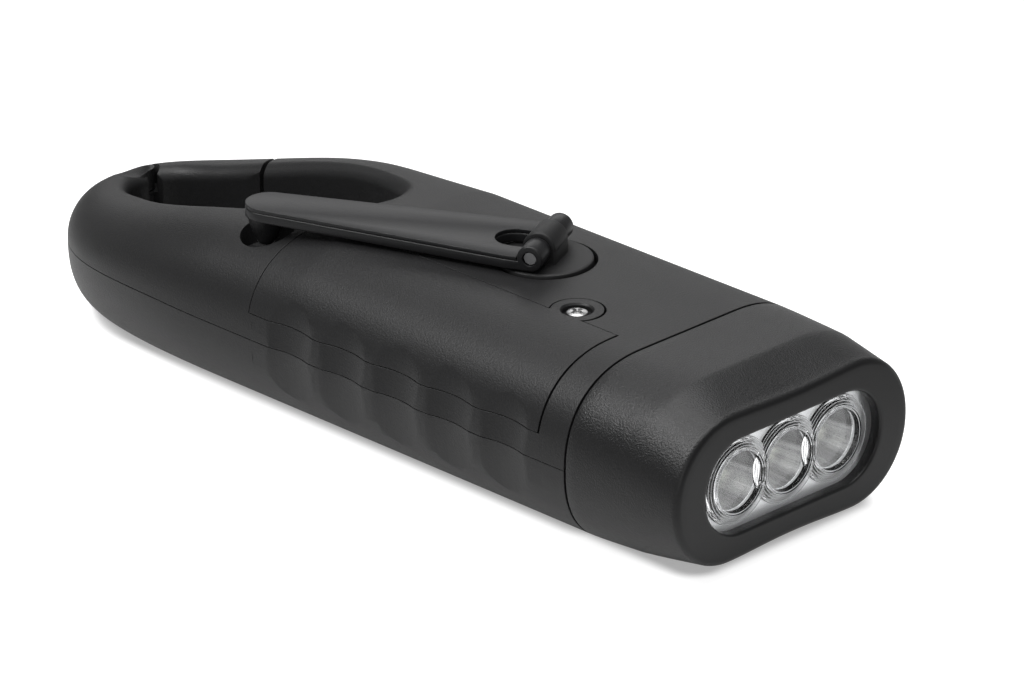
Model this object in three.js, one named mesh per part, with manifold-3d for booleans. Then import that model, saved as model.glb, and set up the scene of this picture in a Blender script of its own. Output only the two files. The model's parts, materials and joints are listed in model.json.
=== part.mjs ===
// Pocket torch with a folding dynamo crank on its top face and a carabiner loop as its tail.
// Millimetres. X runs from the tail tip to the lens, Y across the body, Z up from the underside.
import * as THREE from "three";
import { mergeVertices } from "three/addons/utils/BufferGeometryUtils.js";
import Module from "manifold-3d";

const wasm = await Module();
wasm.setup();
const { Manifold, Mesh: SolidMesh } = wasm;

// Whole body
const LENGTH = 146;
const HEAD_LENGTH = 21.3; // in front of the seam with the casing
const HALF_WIDTH = 25.5;
const THICKNESS = 28.6;
const PARTING_Z = THICKNESS / 2; // the line where upper and lower casing meet
const TOP_HALF_WIDTH = 9.5; // half the width of the level top, where the side rounding ends
const SIDE_POWER = 2.2; // 2 would be an ellipse
const TAIL_LENGTH = 33; // the elliptical end of the outline
const TAIL_TOP = 18; // height of the top line at the tail tip
const RAMP_OVERLAP = 5.4; // the ramp ends this far in front of the battery bay's rear
const RAMP_SHARES = [0, 0.14, 0.98, 1]; // control heights of the ramp, of its whole rise
const WALL = 2;
const GATE_END_WALL = 2.8; // of solid ring in front of the gate, before the hollow begins
const SEAM_GAP = 0.1; // half of the line between two fixed mouldings
const RUNNING_GAP = 0.3; // between a moving piece and what it passes
const FIT_GAP = 0.1; // round a shaft or a pin in its hole
const OVERRUN = 5; // how far a cutting shape runs past what it cuts
const MERGE_DISTANCE = 1e-4;

// Facets of the round forms
const TAIL_STEPS = 10;
const RAMP_STEPS = 4;
const SIDE_STEPS = 4;
const WIDE_FACETS = 20;
const ROUND_FACETS = 14;
const PIN_FACETS = 8;
const SCALLOP_FACETS = 24;
const CORNER_STEPS = 3;

// Carabiner loop and its gate
const LOOP_START_X = 6.6;
const LOOP_BAY_WALL = 3.4; // between the loop's hole and the battery bay
const RING_WIDTH = 14.7; // from the body's side to the loop's half width
const LOOP_EDGE_ROUND = 2.4;
const LOOP_EDGE_STEPS = 2;
const LOOP_STEPS = 26;
const LOOP_OUTLINE_SHARES = [
  [0, 0], [0.05, -0.5], [0.19, -0.72], [0.38, -0.93], [0.56, -0.98], [0.72, -0.88],
  [0.88, -0.5], [0.965, 0], [1, 0.45], [0.975, 0.85], [0.87, 1.02], [0.64, 1.05],
  [0.42, 0.94], [0.2, 0.74], [0.05, 0.5],
];
const GATE_PIN_X = 3.9;
const GATE_PIN_Y = 2.6;
const GATE_PIN_RADIUS = 0.8;
const GATE_PIN_BOTTOM = 5.2;
const GATE_PIN_TOP = 16;
const GATE_REACH = 21.3; // from the pin to the free end
const GATE_END_GAP = 0.9; // between the free end and the ring
const GATE_START_DEG = 20;
const GATE_END_DEG = 140;
const GATE_SWING_DEG = 25;
const GATE_ROOM_DEG = 4; // free angle beyond each end of the swing
const KNUCKLE_RADIUS = 2.6;
const KNUCKLE_BOTTOM = 9;
const KNUCKLE_TOP = 13.9;
const NOTCH_RADIUS = 3.4; // the scoop in the gate round the ring's ears
const GATE_SPRING_RADIUS = 1.5;
const GATE_SPRING_WIRE = 0.28;
const GATE_SPRING_TURNS = 4;
const GATE_SPRING_PITCH = 0.66;
const GATE_SPRING_ROOM = 2.1;
const SPRING_SIDES = 4;
const SPRING_STEPS = 8; // for each turn

// Grip scallops on both sides
const SCALLOP_COUNT = 5;
const SCALLOP_SETBACK = 12.5; // from the seam to the middle of the foremost scallop
const SCALLOP_PITCH = 11.2;
const SCALLOP_RADIUS = 14;
const SCALLOP_DEPTH = 1;

// Battery cover and its screw
const COVER_OVERLAP = 2.2; // the cover begins this far behind the bay
const COVER_SETBACK = 5.7; // from the seam
const COVER_TOP_GAP = 0.1; // from the bay's side to the cover's long edge
const COVER_EDGE_RISE = 4; // above the parting line
const COVER_TAB_SETBACK = 16.3; // from the seam
const COVER_TAB_OUT = 2.4; // how far the tab's centre lies beyond the cover's long edge
const COVER_TAB_RADIUS = 4.1;
const COVER_LEDGE_OUT = 1.5; // the casing's ledge runs this far beyond the cover's edge
const COVER_LEDGE_IN = 1.2; // and this far under it
const COVER_LEDGE_THICKNESS = 1.2;
const COVER_SCREW_HEAD_RADIUS = 1.75;
const COVER_SCREW_HEAD_HEIGHT = 0.7;
const COVER_SCREW_RADIUS = 0.95;
const COVER_SCREW_DEPTH = 7.8; // below the top face
const DRIVE_WIDTH = 0.5; // each arm of the cross recess
const DRIVE_DEPTH = 0.4;
const DRIVE_SHARE = 0.6; // length of the recess, of the head's width
const COVER_RECESS_RADIUS = 2.3;
const COVER_RECESS_DEPTH = 0.9;
const COVER_BOSS_RADIUS = 2.2;
const COVER_BOSS_DEPTH = 8.6;

// Crank: everything is placed from the spindle axis and the direction of the folded arm
const CRANK_SETBACK = 32.7; // from the seam to the spindle
const CRANK_SHARE = 25; // in modules, from the battery bay to the spindle
const CRANK_TURN_DEG = 204.8;
const HUB_RADIUS = 7.25;
const HUB_GAP = 0.6;
const HUB_RISE = 0.4; // the disc stands this far above the top face
const HUB_THICKNESS = 2.2;
const HUB_FLOOR_GAP = 0.2;
const HUB_CUP_WALL = 1.2;
const HUB_CUP_FLOOR = 1.4;
const SPINDLE_RADIUS = 3;
const SPINDLE_SHOULDER_DROP = 0.2; // below the upper gear plate
const SPINDLE_TIP_RADIUS = 2.2;
const SPINDLE_BORE_COVER = 1.6; // of the spindle above its screw's hole
const LUG_RADIUS = 2.6;
const LUG_HALF_WIDTH = 2.85;
const HINGE_RISE = 2.65; // of the hinge axis above the top face
const HINGE_PIN_RADIUS = 1;
const HINGE_PIN_HALF_LENGTH = 6.6;
const BARREL_RADIUS = 2;
const BARREL_HALF_LENGTH = 7;
const FORK_GAP = 0.2; // between the lug and each side of the fork
const ARM_BASE_THICKNESS = 1.5;
const ARM_COVER_THICKNESS = 0.55;
const ARM_COVER_GAP = 0.05;
const ARM_TIP_RADIUS = 3.7;
const ARM_SHOULDER_REACH = 4; // the arm narrows from here to its tip
const ARM_SLOT_REACH = 7.7;
const KNOB_LEAD = 0.3; // the knob hangs this far beyond the hollow's middle
const KNOB_RADIUS = 2.9;
const KNOB_CLEARANCE = 0.2; // between the folded knob and the top face that it sweeps over
const KNOB_TIP_RADIUS = 2.1;
const KNOB_TIP_HEIGHT = 0.4;
const KNOB_SEAT_DEPTH = 0.5; // the knob's root is let into the arm this far
const KNOB_SHANK_RADIUS = 1.2;
const KNOB_WASHER_RADIUS = 2;
const KNOB_WASHER_THICKNESS = 0.35;
const POCKET_BAY_ROOM = 8.3; // from the battery bay back to the hollow under the arm's tip
const POCKET_SIDESTEP = 19.2;
const POCKET_RADIUS = 4.7; // at the surface
const POCKET_FLOOR_RADIUS = 3.3;
const POCKET_DEPTH = 5;
const POCKET_WALL = 1.4;

// Gear train from the crank down to the dynamo
const TRAIN_WIDTH_SHARE = 64.6; // the train's width, in modules
const TRAIN_REACH_SHARE = 60.8; // and its reach from the spindle towards the seam
const TRAIN_SEAM_GAP = 2.3;
const ADDENDUM_SHARE = 0.8;
const DEDENDUM_SHARE = 1.1;
const TOOTH_TIP_SHARE = 0.2; // width of a tooth at its tip, of one pitch
const TOOTH_ROOT_SHARE = 0.56;
const CRANK_TEETH = 44;
const IDLER_1_PINION_TEETH = 12;
const IDLER_1_TEETH = 40;
const IDLER_2_PINION_TEETH = 10;
const IDLER_2_TEETH = 36;
const ROTOR_TEETH = 10;
const IDLER_1_DEG = 25; // direction from the crank to the first idler
const IDLER_2_DEG = -48.5; // from the first idler to the second
const ROTOR_DEG = 166; // from the second idler to the rotor
const CRANK_GEAR_THICKNESS = 2.4;
const CRANK_GEAR_DROP = 0.4; // below the upper gear plate
const GEAR_SCREW_HEAD_RADIUS = 3;
const GEAR_SCREW_HEAD_HEIGHT = 0.8;
const GEAR_SCREW_RADIUS = 0.8;
const IDLER_1_THICKNESS = 1.8;
const IDLER_1_DROP = 1.8; // below the crank gear
const IDLER_2_THICKNESS = 2;
const IDLER_2_DROP = 0.9; // below the first idler
const IDLER_2_PINION_RISE = 0.2; // above the first idler's wheel
const GEAR_SIDE_GAP = 0.3;
const AXLE_RADIUS = 0.75;
const AXLE_BOSS_RADIUS = 1.5;
const PLATE_THICKNESS = 1.2;
const UPPER_PLATE_DEPTH = 5; // from the top face to the underside of the upper gear plate
const LOWER_PLATE_DROP = 1.8; // from the second idler to the underside of the lower gear plate
const PLATE_CORNER_RADIUS = 2.8;
const PILLAR_X_SHARES = [-16, 54.6, -19]; // in modules, from the spindle
const PILLAR_Y_SHARES = [21, 17.6, -19.4];
const PILLAR_RADIUS = 1.5;
const PLATE_SCREW_RADIUS = 0.6;
const PLATE_SCREW_HEAD_RADIUS = 1.3;
const PLATE_SCREW_HEAD_HEIGHT = 0.6;
const PLATE_SCREW_END_Z = 8;
const POST_RADIUS = 2.5;

// Dynamo
const ROTOR_RADIUS_SHARE = 12.8; // in modules, like the dynamo's other shares
const ROTOR_BOTTOM = 5;
const ROTOR_DROP = 0.4; // below the coil's top
const SHAFT_BOTTOM = 4.2;
const SHAFT_RISE = 0.5; // above the second idler's wheel
const COIL_INNER_RADIUS_SHARE = 13.8;
const COIL_OUTER_RADIUS_SHARE = 20.6;
const COIL_BOTTOM = 3.5;
const COIL_DROP = 0.6; // below the yoke's top
const YOKE_RADIUS_SHARE = 22;
const YOKE_WALL = 0.5;
const YOKE_BOTTOM = 2.75;
const YOKE_FLOOR = 0.65;
const YOKE_DROP = 0.3; // below the lower gear plate
const YOKE_BOSS_RADIUS = 1.7;
const YOKE_BOSS_TOP = 4.7;
const YOKE_PAD_RADIUS = 6;

// Battery cells, contacts and their bay
const CELL_HEIGHT_ROOM = 1.9; // in the height of the cells, for their gaps
const CELL_LENGTH = 43.9;
const CELL_NUB_RADIUS = 1.9;
const CELL_NUB_LENGTH = 0.8;
const CELL_FRONT_ROOM = 1.4; // between the front contact's wall and the cell
const CELL_SIDE_ROOM = 10.9; // from the body's side to the cells' axis
const CELL_LOWER_GAP = 0.3; // from the parting line to the lower cell
const CELL_UPPER_GAP = 0.2; // and to the upper cell
const CELL_REAR_ROOM = 1.9; // for the rear contact's springs
const BAY_SETBACK = 16.9; // from the seam
const BAY_SIDE_ROOM = 5.8; // from the cells' axis to the bay's side
const BAY_WALL = 1.2;
const BAY_RIB_SHARES = [0.22, 0.78]; // along the cell
const BAY_UPPER_RIB_ROOM = 2.4; // from the cells' axis
const CONTACT_THICKNESS = 0.4;
const CONTACT_HALF_SIZE = 4;
const CONTACT_SPRING_RADIUS = 2.6;
const CONTACT_SPRING_TIP_RADIUS = 1.4;

// Circuit board, switch and push button
const BOARD_SETBACK = 2.9; // from the bay's rear
const BOARD_CRANK_ROOM = 13; // from the board to the spindle's line
const BOARD_BAY_GAP = 1.8; // from the bay's side
const BOARD_SIDE_ROOM = 8.5; // from the body's far side
const BOARD_BOTTOM = 6;
const BOARD_THICKNESS = 1.2;
const BOARD_FOOT_RADIUS = 1.5;
const BOARD_FOOT_INSET = 2;
const BOARD_PEG_RADIUS = 0.7;
const BOARD_PEG_RISE = 0.4;
const SWITCH_HALF_WIDTH = 3;
const SWITCH_BOTTOM = 3.5;
const SWITCH_NUB_RADIUS = 1.2;
const SWITCH_NUB_LENGTH = 0.2;
const CAPACITOR_RADIUS = 3;
const CAPACITOR_HEIGHT = 8;
const CAPACITOR_INSET = 5;
const BUTTON_SIDESTEP = 0.5; // from the spindle's line
const BUTTON_RADIUS = 4.6;
const BUTTON_EDGE = 0.4;
const BUTTON_FLANGE_RADIUS = 5.6;
const BUTTON_FLANGE_THICKNESS = 0.5;
const BUTTON_BOTTOM = 0.35;
const BUTTON_DISH_DEPTH = 0.25;

// Screws that hold the casing halves together, from the underside
const LOOP_SCREW_SHARE = 0.58; // place of the rear screw along the loop
const SCREW_SIDE_ROOMS = [7.5, 6, 6.5, 11.5]; // from the body's sides
const BAY_SCREW_OUT = 1.4; // from the bay's rear
const SEAM_SCREW_SETBACKS = [6.2, 4.9]; // from the seam
const CASING_SCREW_SEAT = 5.6;
const CASING_SCREW_RISE = 4.7; // above the parting line
const CASING_SCREW_RADIUS = 0.95;
const CASING_SCREW_HEAD_RADIUS = 1.75;
const CASING_SCREW_HEAD_HEIGHT = 1;
const CASING_BOSS_RADIUS = 2.7;

// Head: bezel, lens, reflector and light sources
const KINK_TOP_LENGTH = 8; // the head narrows over this length, along its top
const KINK_BOTTOM_LENGTH = 12; // and along its underside
const FRONT_DRAW_IN = 1; // how far each side draws in
const FRONT_DRAW_DOWN = 2.6; // how far top and bottom draw in
const FRONT_FLAT = 0.2; // of the front's sides, straight at mid height
const FRONT_WAIST = 0.9; // how far top and bottom dip at the middle of the front
const FRONT_EDGE_ROUND = 1.1;
const FRONT_EDGE_STEPS = 3;
const WAIST_STEPS = 6;
const HEAD_WALL = 3.3;
const HEAD_FRONT_WALL = 6;
const SPIGOT_LENGTH = 1.6;
const SPIGOT_INSET = 2.3;
const SPIGOT_ROOT = 1;
const WINDOW_SIDE_MARGIN = 6.2; // beside the window, to the front's edge
const WINDOW_TOP_MARGIN = 4.3; // above and below it
const WINDOW_STEPS = 6;
const LENS_RECESS = 1.1;
const LENS_PLUG_LENGTH = 0.8;
const LENS_FLANGE = 1.1;
const LENS_FLANGE_THICKNESS = 0.8;
const LENS_RING_RADIUS = 4.9;
const LENS_RING_WIDTH = 0.35;
const LENS_RING_HEIGHT = 0.2;
const LED_COUNT = 3;
const LED_END_ROOM = 8.07; // from the outer LEDs' axes to the window's ends
const LED_RADIUS = 2.5;
const LED_LENGTH = 7.6;
const LED_FLANGE_RADIUS = 2.9;
const LED_FLANGE_THICKNESS = 1;
const CUP_RADIUS = 4.6;
const CUP_THROAT_RADIUS = 2.75;
const CUP_DEPTH = 8.6;
const CUP_WALL = 0.6;
const CUP_STEPS = 2;
const REFLECTOR_MARGIN = 0.9;
const REFLECTOR_PLATE = 1;
const REFLECTOR_POST_RADIUS = 1.2;
const REFLECTOR_POST_OUT = 4.97; // from the outer LEDs' axes
const LED_BOARD_SETBACK = 17; // from the front
const LED_BOARD_THICKNESS = 1.6;
const LED_BOARD_OUT = 6.77; // beyond the outer LEDs' axes
const LED_BOARD_HALF_HEIGHT = 6;

const radians = THREE.MathUtils.degToRad;

// Places that follow from the sizes above: along the body, across it, then from top to bottom
const SEAM_X = LENGTH - HEAD_LENGTH;
const SIDE_ROUND = HALF_WIDTH - TOP_HALF_WIDTH; // how far in from the outline the side rounding reaches
const BAY_FRONT_X = SEAM_X - BAY_SETBACK;
const CELL_START_X = BAY_FRONT_X - CELL_FRONT_ROOM - CELL_LENGTH;
const BAY_REAR_X = CELL_START_X - CELL_REAR_ROOM;
const CELL_Y = CELL_SIDE_ROOM - HALF_WIDTH;
const BAY_SIDE_Y = CELL_Y + BAY_SIDE_ROOM;
const BAY_UPPER_RIB_Y = CELL_Y - BAY_UPPER_RIB_ROOM;
const BAY_RIB_X = BAY_RIB_SHARES.map((share) => CELL_START_X + share * CELL_LENGTH);
const RAMP_END_X = BAY_REAR_X + RAMP_OVERLAP;
const LOOP_LENGTH = BAY_REAR_X - LOOP_BAY_WALL - LOOP_START_X; // the loop takes what the works leave
const LOOP_HALF_WIDTH = HALF_WIDTH - RING_WIDTH;
const CAVITY_START_X = GATE_PIN_X + GATE_REACH + GATE_END_WALL;
const SCALLOP_START_X = SEAM_X - SCALLOP_SETBACK - (SCALLOP_COUNT - 1) * SCALLOP_PITCH;
const COVER_START_X = BAY_REAR_X - COVER_OVERLAP;
const COVER_END_X = SEAM_X - COVER_SETBACK;
const COVER_TOP_Y = BAY_SIDE_Y + COVER_TOP_GAP;
const COVER_TAB_X = SEAM_X - COVER_TAB_SETBACK;
const COVER_TAB_Y = COVER_TOP_Y + COVER_TAB_OUT;
const MODULE = Math.min(
  (HALF_WIDTH - WALL - BAY_SIDE_Y) / TRAIN_WIDTH_SHARE,
  (CRANK_SETBACK - TRAIN_SEAM_GAP) / TRAIN_REACH_SHARE,
);
const CRANK_X = SEAM_X - CRANK_SETBACK;
const CRANK_Y = BAY_SIDE_Y + CRANK_SHARE * MODULE;
const POCKET_X = BAY_REAR_X - POCKET_BAY_ROOM;
const POCKET_Y = CRANK_Y - POCKET_SIDESTEP;
const KNOB_REACH = Math.hypot(CRANK_X - POCKET_X, POCKET_SIDESTEP) + KNOB_LEAD;
const HINGE_HEIGHT = THICKNESS + HINGE_RISE;
const ARM_BOTTOM = HINGE_HEIGHT - BARREL_RADIUS;
const POCKET_FLOOR_Z = THICKNESS - POCKET_DEPTH;
const UPPER_PLATE_BOTTOM = THICKNESS - UPPER_PLATE_DEPTH;
const SPINDLE_SHOULDER = UPPER_PLATE_BOTTOM - SPINDLE_SHOULDER_DROP;
const CRANK_GEAR_TOP = UPPER_PLATE_BOTTOM - CRANK_GEAR_DROP;
const CRANK_GEAR_BOTTOM = CRANK_GEAR_TOP - CRANK_GEAR_THICKNESS;
const IDLER_1_WHEEL_TOP = CRANK_GEAR_BOTTOM - IDLER_1_DROP;
const IDLER_1_BOTTOM = IDLER_1_WHEEL_TOP - IDLER_1_THICKNESS;
const IDLER_2_PINION_TOP = IDLER_1_WHEEL_TOP + IDLER_2_PINION_RISE;
const IDLER_2_WHEEL_TOP = IDLER_1_BOTTOM - IDLER_2_DROP;
const IDLER_2_BOTTOM = IDLER_2_WHEEL_TOP - IDLER_2_THICKNESS;
const LOWER_PLATE_BOTTOM = IDLER_2_BOTTOM - LOWER_PLATE_DROP;
const SHAFT_TOP = IDLER_2_WHEEL_TOP + SHAFT_RISE;
const YOKE_TOP = LOWER_PLATE_BOTTOM - YOKE_DROP;
const COIL_TOP = YOKE_TOP - COIL_DROP;
const ROTOR_TOP = COIL_TOP - ROTOR_DROP;
const CELL_RADIUS = (PARTING_Z - WALL - CELL_HEIGHT_ROOM) / 2;
const CELL_LOWER_Z = PARTING_Z - CELL_LOWER_GAP - CELL_RADIUS;
const CELL_UPPER_Z = PARTING_Z + CELL_UPPER_GAP + CELL_RADIUS;
const COVER_BOTTOM_Z = PARTING_Z + COVER_EDGE_RISE;
const COVER_SCREW_END_Z = THICKNESS - COVER_SCREW_DEPTH;
const COVER_BOSS_BOTTOM = THICKNESS - COVER_BOSS_DEPTH;
const CASING_SCREW_END_Z = PARTING_Z + CASING_SCREW_RISE;
const ROTOR_RADIUS = MODULE * ROTOR_RADIUS_SHARE;
const COIL_INNER_RADIUS = MODULE * COIL_INNER_RADIUS_SHARE;
const COIL_OUTER_RADIUS = MODULE * COIL_OUTER_RADIUS_SHARE;
const YOKE_RADIUS = MODULE * YOKE_RADIUS_SHARE;
const BOARD_START_X = BAY_REAR_X + BOARD_SETBACK;
const BOARD_END_X = CRANK_X - BOARD_CRANK_ROOM;
const BOARD_START_Y = BAY_SIDE_Y + BOARD_BAY_GAP;
const BOARD_END_Y = HALF_WIDTH - BOARD_SIDE_ROOM;
const BUTTON_X = (BOARD_START_X + BOARD_END_X) / 2;
const BUTTON_Y = CRANK_Y + BUTTON_SIDESTEP;
const KINK_TOP_X = LENGTH - KINK_TOP_LENGTH;
const KINK_BOTTOM_X = LENGTH - KINK_BOTTOM_LENGTH;
const FRONT_HALF_WIDTH = HALF_WIDTH - FRONT_DRAW_IN;
const FRONT_HALF_HEIGHT = PARTING_Z - FRONT_DRAW_DOWN;
const FRONT_ROUND = FRONT_HALF_HEIGHT - FRONT_FLAT;
const HEAD_CAVITY_END_X = LENGTH - HEAD_FRONT_WALL;
const WINDOW_HALF_WIDTH = FRONT_HALF_WIDTH - WINDOW_SIDE_MARGIN;
const WINDOW_HALF_HEIGHT = FRONT_HALF_HEIGHT - WINDOW_TOP_MARGIN;
const LED_PITCH = WINDOW_HALF_WIDTH - LED_END_ROOM;
const REFLECTOR_POST_Y = LED_PITCH + REFLECTOR_POST_OUT;
const LED_BOARD_X = LENGTH - LED_BOARD_SETBACK;
const LED_BOARD_HALF_WIDTH = LED_PITCH + LED_BOARD_OUT;

// The centre one gear pair's distance away from another, in a direction.
function meshCentre([x, y], teeth, otherTeeth, directionDeg) {
  const distance = (MODULE * (teeth + otherTeeth)) / 2;
  const angle = radians(directionDeg);
  return [x + distance * Math.cos(angle), y + distance * Math.sin(angle)];
}

const CRANK_AXIS = [CRANK_X, CRANK_Y];
const IDLER_1_AXIS = meshCentre(CRANK_AXIS, CRANK_TEETH, IDLER_1_PINION_TEETH, IDLER_1_DEG);
const IDLER_2_AXIS = meshCentre(IDLER_1_AXIS, IDLER_1_TEETH, IDLER_2_PINION_TEETH, IDLER_2_DEG);
const ROTOR_AXIS = meshCentre(IDLER_2_AXIS, IDLER_2_TEETH, ROTOR_TEETH, ROTOR_DEG);
const PILLARS = PILLAR_X_SHARES.map((share, i) => [
  CRANK_X + share * MODULE,
  CRANK_Y + PILLAR_Y_SHARES[i] * MODULE,
]);
const [LOOP_SIDE, BAY_SIDE, FAR_SIDE, NEAR_SIDE] = SCREW_SIDE_ROOMS.map((room) => HALF_WIDTH - room);
const CASING_SCREWS = [
  [LOOP_START_X + LOOP_SCREW_SHARE * LOOP_LENGTH, -LOOP_SIDE],
  [BAY_REAR_X + BAY_SCREW_OUT, BAY_SIDE],
  [SEAM_X - SEAM_SCREW_SETBACKS[0], FAR_SIDE],
  [SEAM_X - SEAM_SCREW_SETBACKS[1], -NEAR_SIDE],
];
const LOWER_PLATE_TOP = LOWER_PLATE_BOTTOM + PLATE_THICKNESS;
const UPPER_PLATE_TOP = UPPER_PLATE_BOTTOM + PLATE_THICKNESS;
const HUB_TOP = THICKNESS + HUB_RISE;
const HUB_BOTTOM = HUB_TOP - HUB_THICKNESS;
const SPINDLE_BORE_TOP = HUB_BOTTOM - SPINDLE_BORE_COVER;
const HUB_RECESS_FLOOR = HUB_BOTTOM - HUB_FLOOR_GAP;
const ARM_BASE_TOP = ARM_BOTTOM + ARM_BASE_THICKNESS;
const ABOVE = THICKNESS + OVERRUN;

const root = new THREE.Group();
root.position.x = -LENGTH / 2;

// Solids

const asX = new THREE.Matrix4().set(0, 0, 1, 0, 1, 0, 0, 0, 0, 1, 0, 0, 0, 0, 0, 1);
const alongX = (geometry) => geometry.applyMatrix4(asX); // turns Z into X, X into Y and Y into Z

// A closed geometry as a solid with shared vertices and outward faces.
function toSolid(geometry) {
  const bare = geometry.index ? geometry.toNonIndexed() : geometry.clone();
  bare.deleteAttribute("normal");
  bare.deleteAttribute("uv");
  const merged = mergeVertices(bare, MERGE_DISTANCE);
  const corners = merged.index.array;
  const kept = [];
  for (let i = 0; i < corners.length; i += 3) {
    const [a, b, c] = [corners[i], corners[i + 1], corners[i + 2]];
    if (a !== b && b !== c && c !== a) kept.push([a, b, c]);
  }
  const build = (triangles) =>
    new Manifold(
      new SolidMesh({
        numProp: 3,
        vertProperties: merged.attributes.position.array,
        triVerts: Uint32Array.from(triangles.flat()),
      }),
    );
  const solid = build(kept);
  return solid.volume() > 0 ? solid : build(kept.map(([a, b, c]) => [a, c, b]));
}

const asSolid = (shape) => (shape.isBufferGeometry ? toSolid(shape) : shape);
const join = (...shapes) => shapes.map(asSolid).reduce((sum, next) => sum.add(next));
const cut = (from, ...tools) => tools.map(asSolid).reduce((sum, next) => sum.subtract(next), asSolid(from));
const common = (a, b) => asSolid(a).intersect(asSolid(b));

function frustum(bottomRadius, topRadius, bottom, top, x = 0, y = 0, facets = ROUND_FACETS) {
  const geometry = new THREE.CylinderGeometry(topRadius, bottomRadius, top - bottom, facets);
  return geometry.rotateX(Math.PI / 2).translate(x, y, (bottom + top) / 2);
}

const cylinder = (radius, bottom, top, x = 0, y = 0, facets = ROUND_FACETS) =>
  frustum(radius, radius, bottom, top, x, y, facets);

function box(startX, endX, startY, endY, bottom, top) {
  const geometry = new THREE.BoxGeometry(endX - startX, endY - startY, top - bottom);
  return geometry.translate((startX + endX) / 2, (startY + endY) / 2, (bottom + top) / 2);
}

// An outline of [x, y] points raised from one height to another.
function prism(points, bottom, top) {
  const shape = new THREE.Shape(points.map(([x, y]) => new THREE.Vector2(x, y)));
  const geometry = new THREE.ExtrudeGeometry(shape, { depth: top - bottom, bevelEnabled: false });
  return geometry.translate(0, 0, bottom);
}

// A profile of [radius, height] points turned about Z. It runs from the axis back to the axis.
function turned(profile, x = 0, y = 0, facets = ROUND_FACETS) {
  const points = profile.map(([radius, height]) => new THREE.Vector2(radius, height));
  return new THREE.LatheGeometry(points, facets).rotateX(Math.PI / 2).translate(x, y, 0);
}

function tube(outer, inner, bottom, top, x = 0, y = 0, facets = ROUND_FACETS) {
  const profile = [[inner, bottom], [outer, bottom], [outer, top], [inner, top], [inner, bottom]];
  return turned(profile, x, y, facets);
}

// Closed rings of points joined in order. A fan closes each end, unless the first ring lies folded
// flat on itself.
function loft(rings, firstIsFlat = false) {
  const points = [];
  const count = rings[0].length;
  const triangle = (a, b, c) => points.push(...a, ...b, ...c);
  for (let r = 0; r + 1 < rings.length; r++) {
    for (let i = 0; i < count; i++) {
      const j = (i + 1) % count;
      triangle(rings[r][i], rings[r][j], rings[r + 1][j]);
      triangle(rings[r][i], rings[r + 1][j], rings[r + 1][i]);
    }
  }
  const middle = (ring) => [0, 1, 2].map((k) => ring.reduce((sum, p) => sum + p[k], 0) / count);
  const [first, last] = [rings[0], rings[rings.length - 1]];
  for (let i = 0; i < count; i++) {
    const j = (i + 1) % count;
    if (!firstIsFlat) triangle(middle(first), first[j], first[i]);
    triangle(middle(last), last[i], last[j]);
  }
  return new THREE.BufferGeometry().setAttribute("position", new THREE.Float32BufferAttribute(points, 3));
}

// A rectangle with fully round ends, as [x, y] points about a centre.
function stadium(halfLength, halfWidth, x, y) {
  const points = [];
  for (const end of [1, -1]) {
    for (let i = 0; i <= WINDOW_STEPS; i++) {
      const angle = Math.PI * (i / WINDOW_STEPS - 1 / 2);
      points.push([
        x + end * (halfLength - halfWidth + halfWidth * Math.cos(angle)),
        y + end * halfWidth * Math.sin(angle),
      ]);
    }
  }
  return points;
}

// The convex outline round circles of one radius, whose centres run anticlockwise.
function rounded(centres, radius) {
  const count = centres.length;
  return centres.flatMap(([x, y], i) => {
    const [beforeX, beforeY] = centres[(i + count - 1) % count];
    const [nextX, nextY] = centres[(i + 1) % count];
    const from = Math.atan2(y - beforeY, x - beforeX) - Math.PI / 2;
    const turn = Math.atan2(nextY - y, nextX - x) - Math.PI / 2 - from;
    const sweep = THREE.MathUtils.euclideanModulo(turn, 2 * Math.PI);
    const arc = [];
    for (let k = 0; k <= CORNER_STEPS; k++) {
      const angle = from + (sweep * k) / CORNER_STEPS;
      arc.push([x + radius * Math.cos(angle), y + radius * Math.sin(angle)]);
    }
    return arc;
  });
}

const LOOKS = {
  casing: [0x1b1b1c, 0.6],
  bezel: [0x1a1a1b, 0.5],
  arm: [0x232324, 0.42],
  steel: [0xc9c9c6, 0.3, 1],
  lens: [0xe8eef0, 0.06],
  chrome: [0xdfe1e2, 0.12, 1],
  led: [0xe9ead2, 0.15],
  board: [0x1d5c3a, 0.55],
  gear: [0xe6e2d6, 0.5],
  copper: [0xb4632c, 0.35, 1],
  magnet: [0x3b3b3f, 0.45, 1],
  cell: [0x2f6f4a, 0.4],
  capacitor: [0x23355e, 0.4],
};

// One named piece of the torch.
function piece(name, look, shape, group = root) {
  const { vertProperties, triVerts, numProp } = asSolid(shape).getMesh();
  const points = new Float32Array(triVerts.length * 3);
  triVerts.forEach((v, i) => points.set(vertProperties.subarray(v * numProp, v * numProp + 3), i * 3));
  const geometry = new THREE.BufferGeometry();
  geometry.setAttribute("position", new THREE.BufferAttribute(points, 3));
  geometry.computeVertexNormals();
  const [color, roughness, metalness = 0] = LOOKS[look];
  const mesh = new THREE.Mesh(
    geometry,
    new THREE.MeshStandardMaterial({ color, roughness, metalness }),
  );
  mesh.name = name;
  group.add(mesh);
}

// A screw whose shank runs from the seat to the end, up or down.
function screw({ x, y, seat, end, radius, headRadius, headHeight, facets = PIN_FACETS }) {
  const headEnd = seat + Math.sign(seat - end) * headHeight;
  const profile = [
    [0, end],
    [radius, end],
    [radius, seat],
    [headRadius, seat],
    [headRadius, headEnd],
    [0, headEnd],
  ];
  return turned(profile, x, y, facets);
}

// Body form

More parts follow.
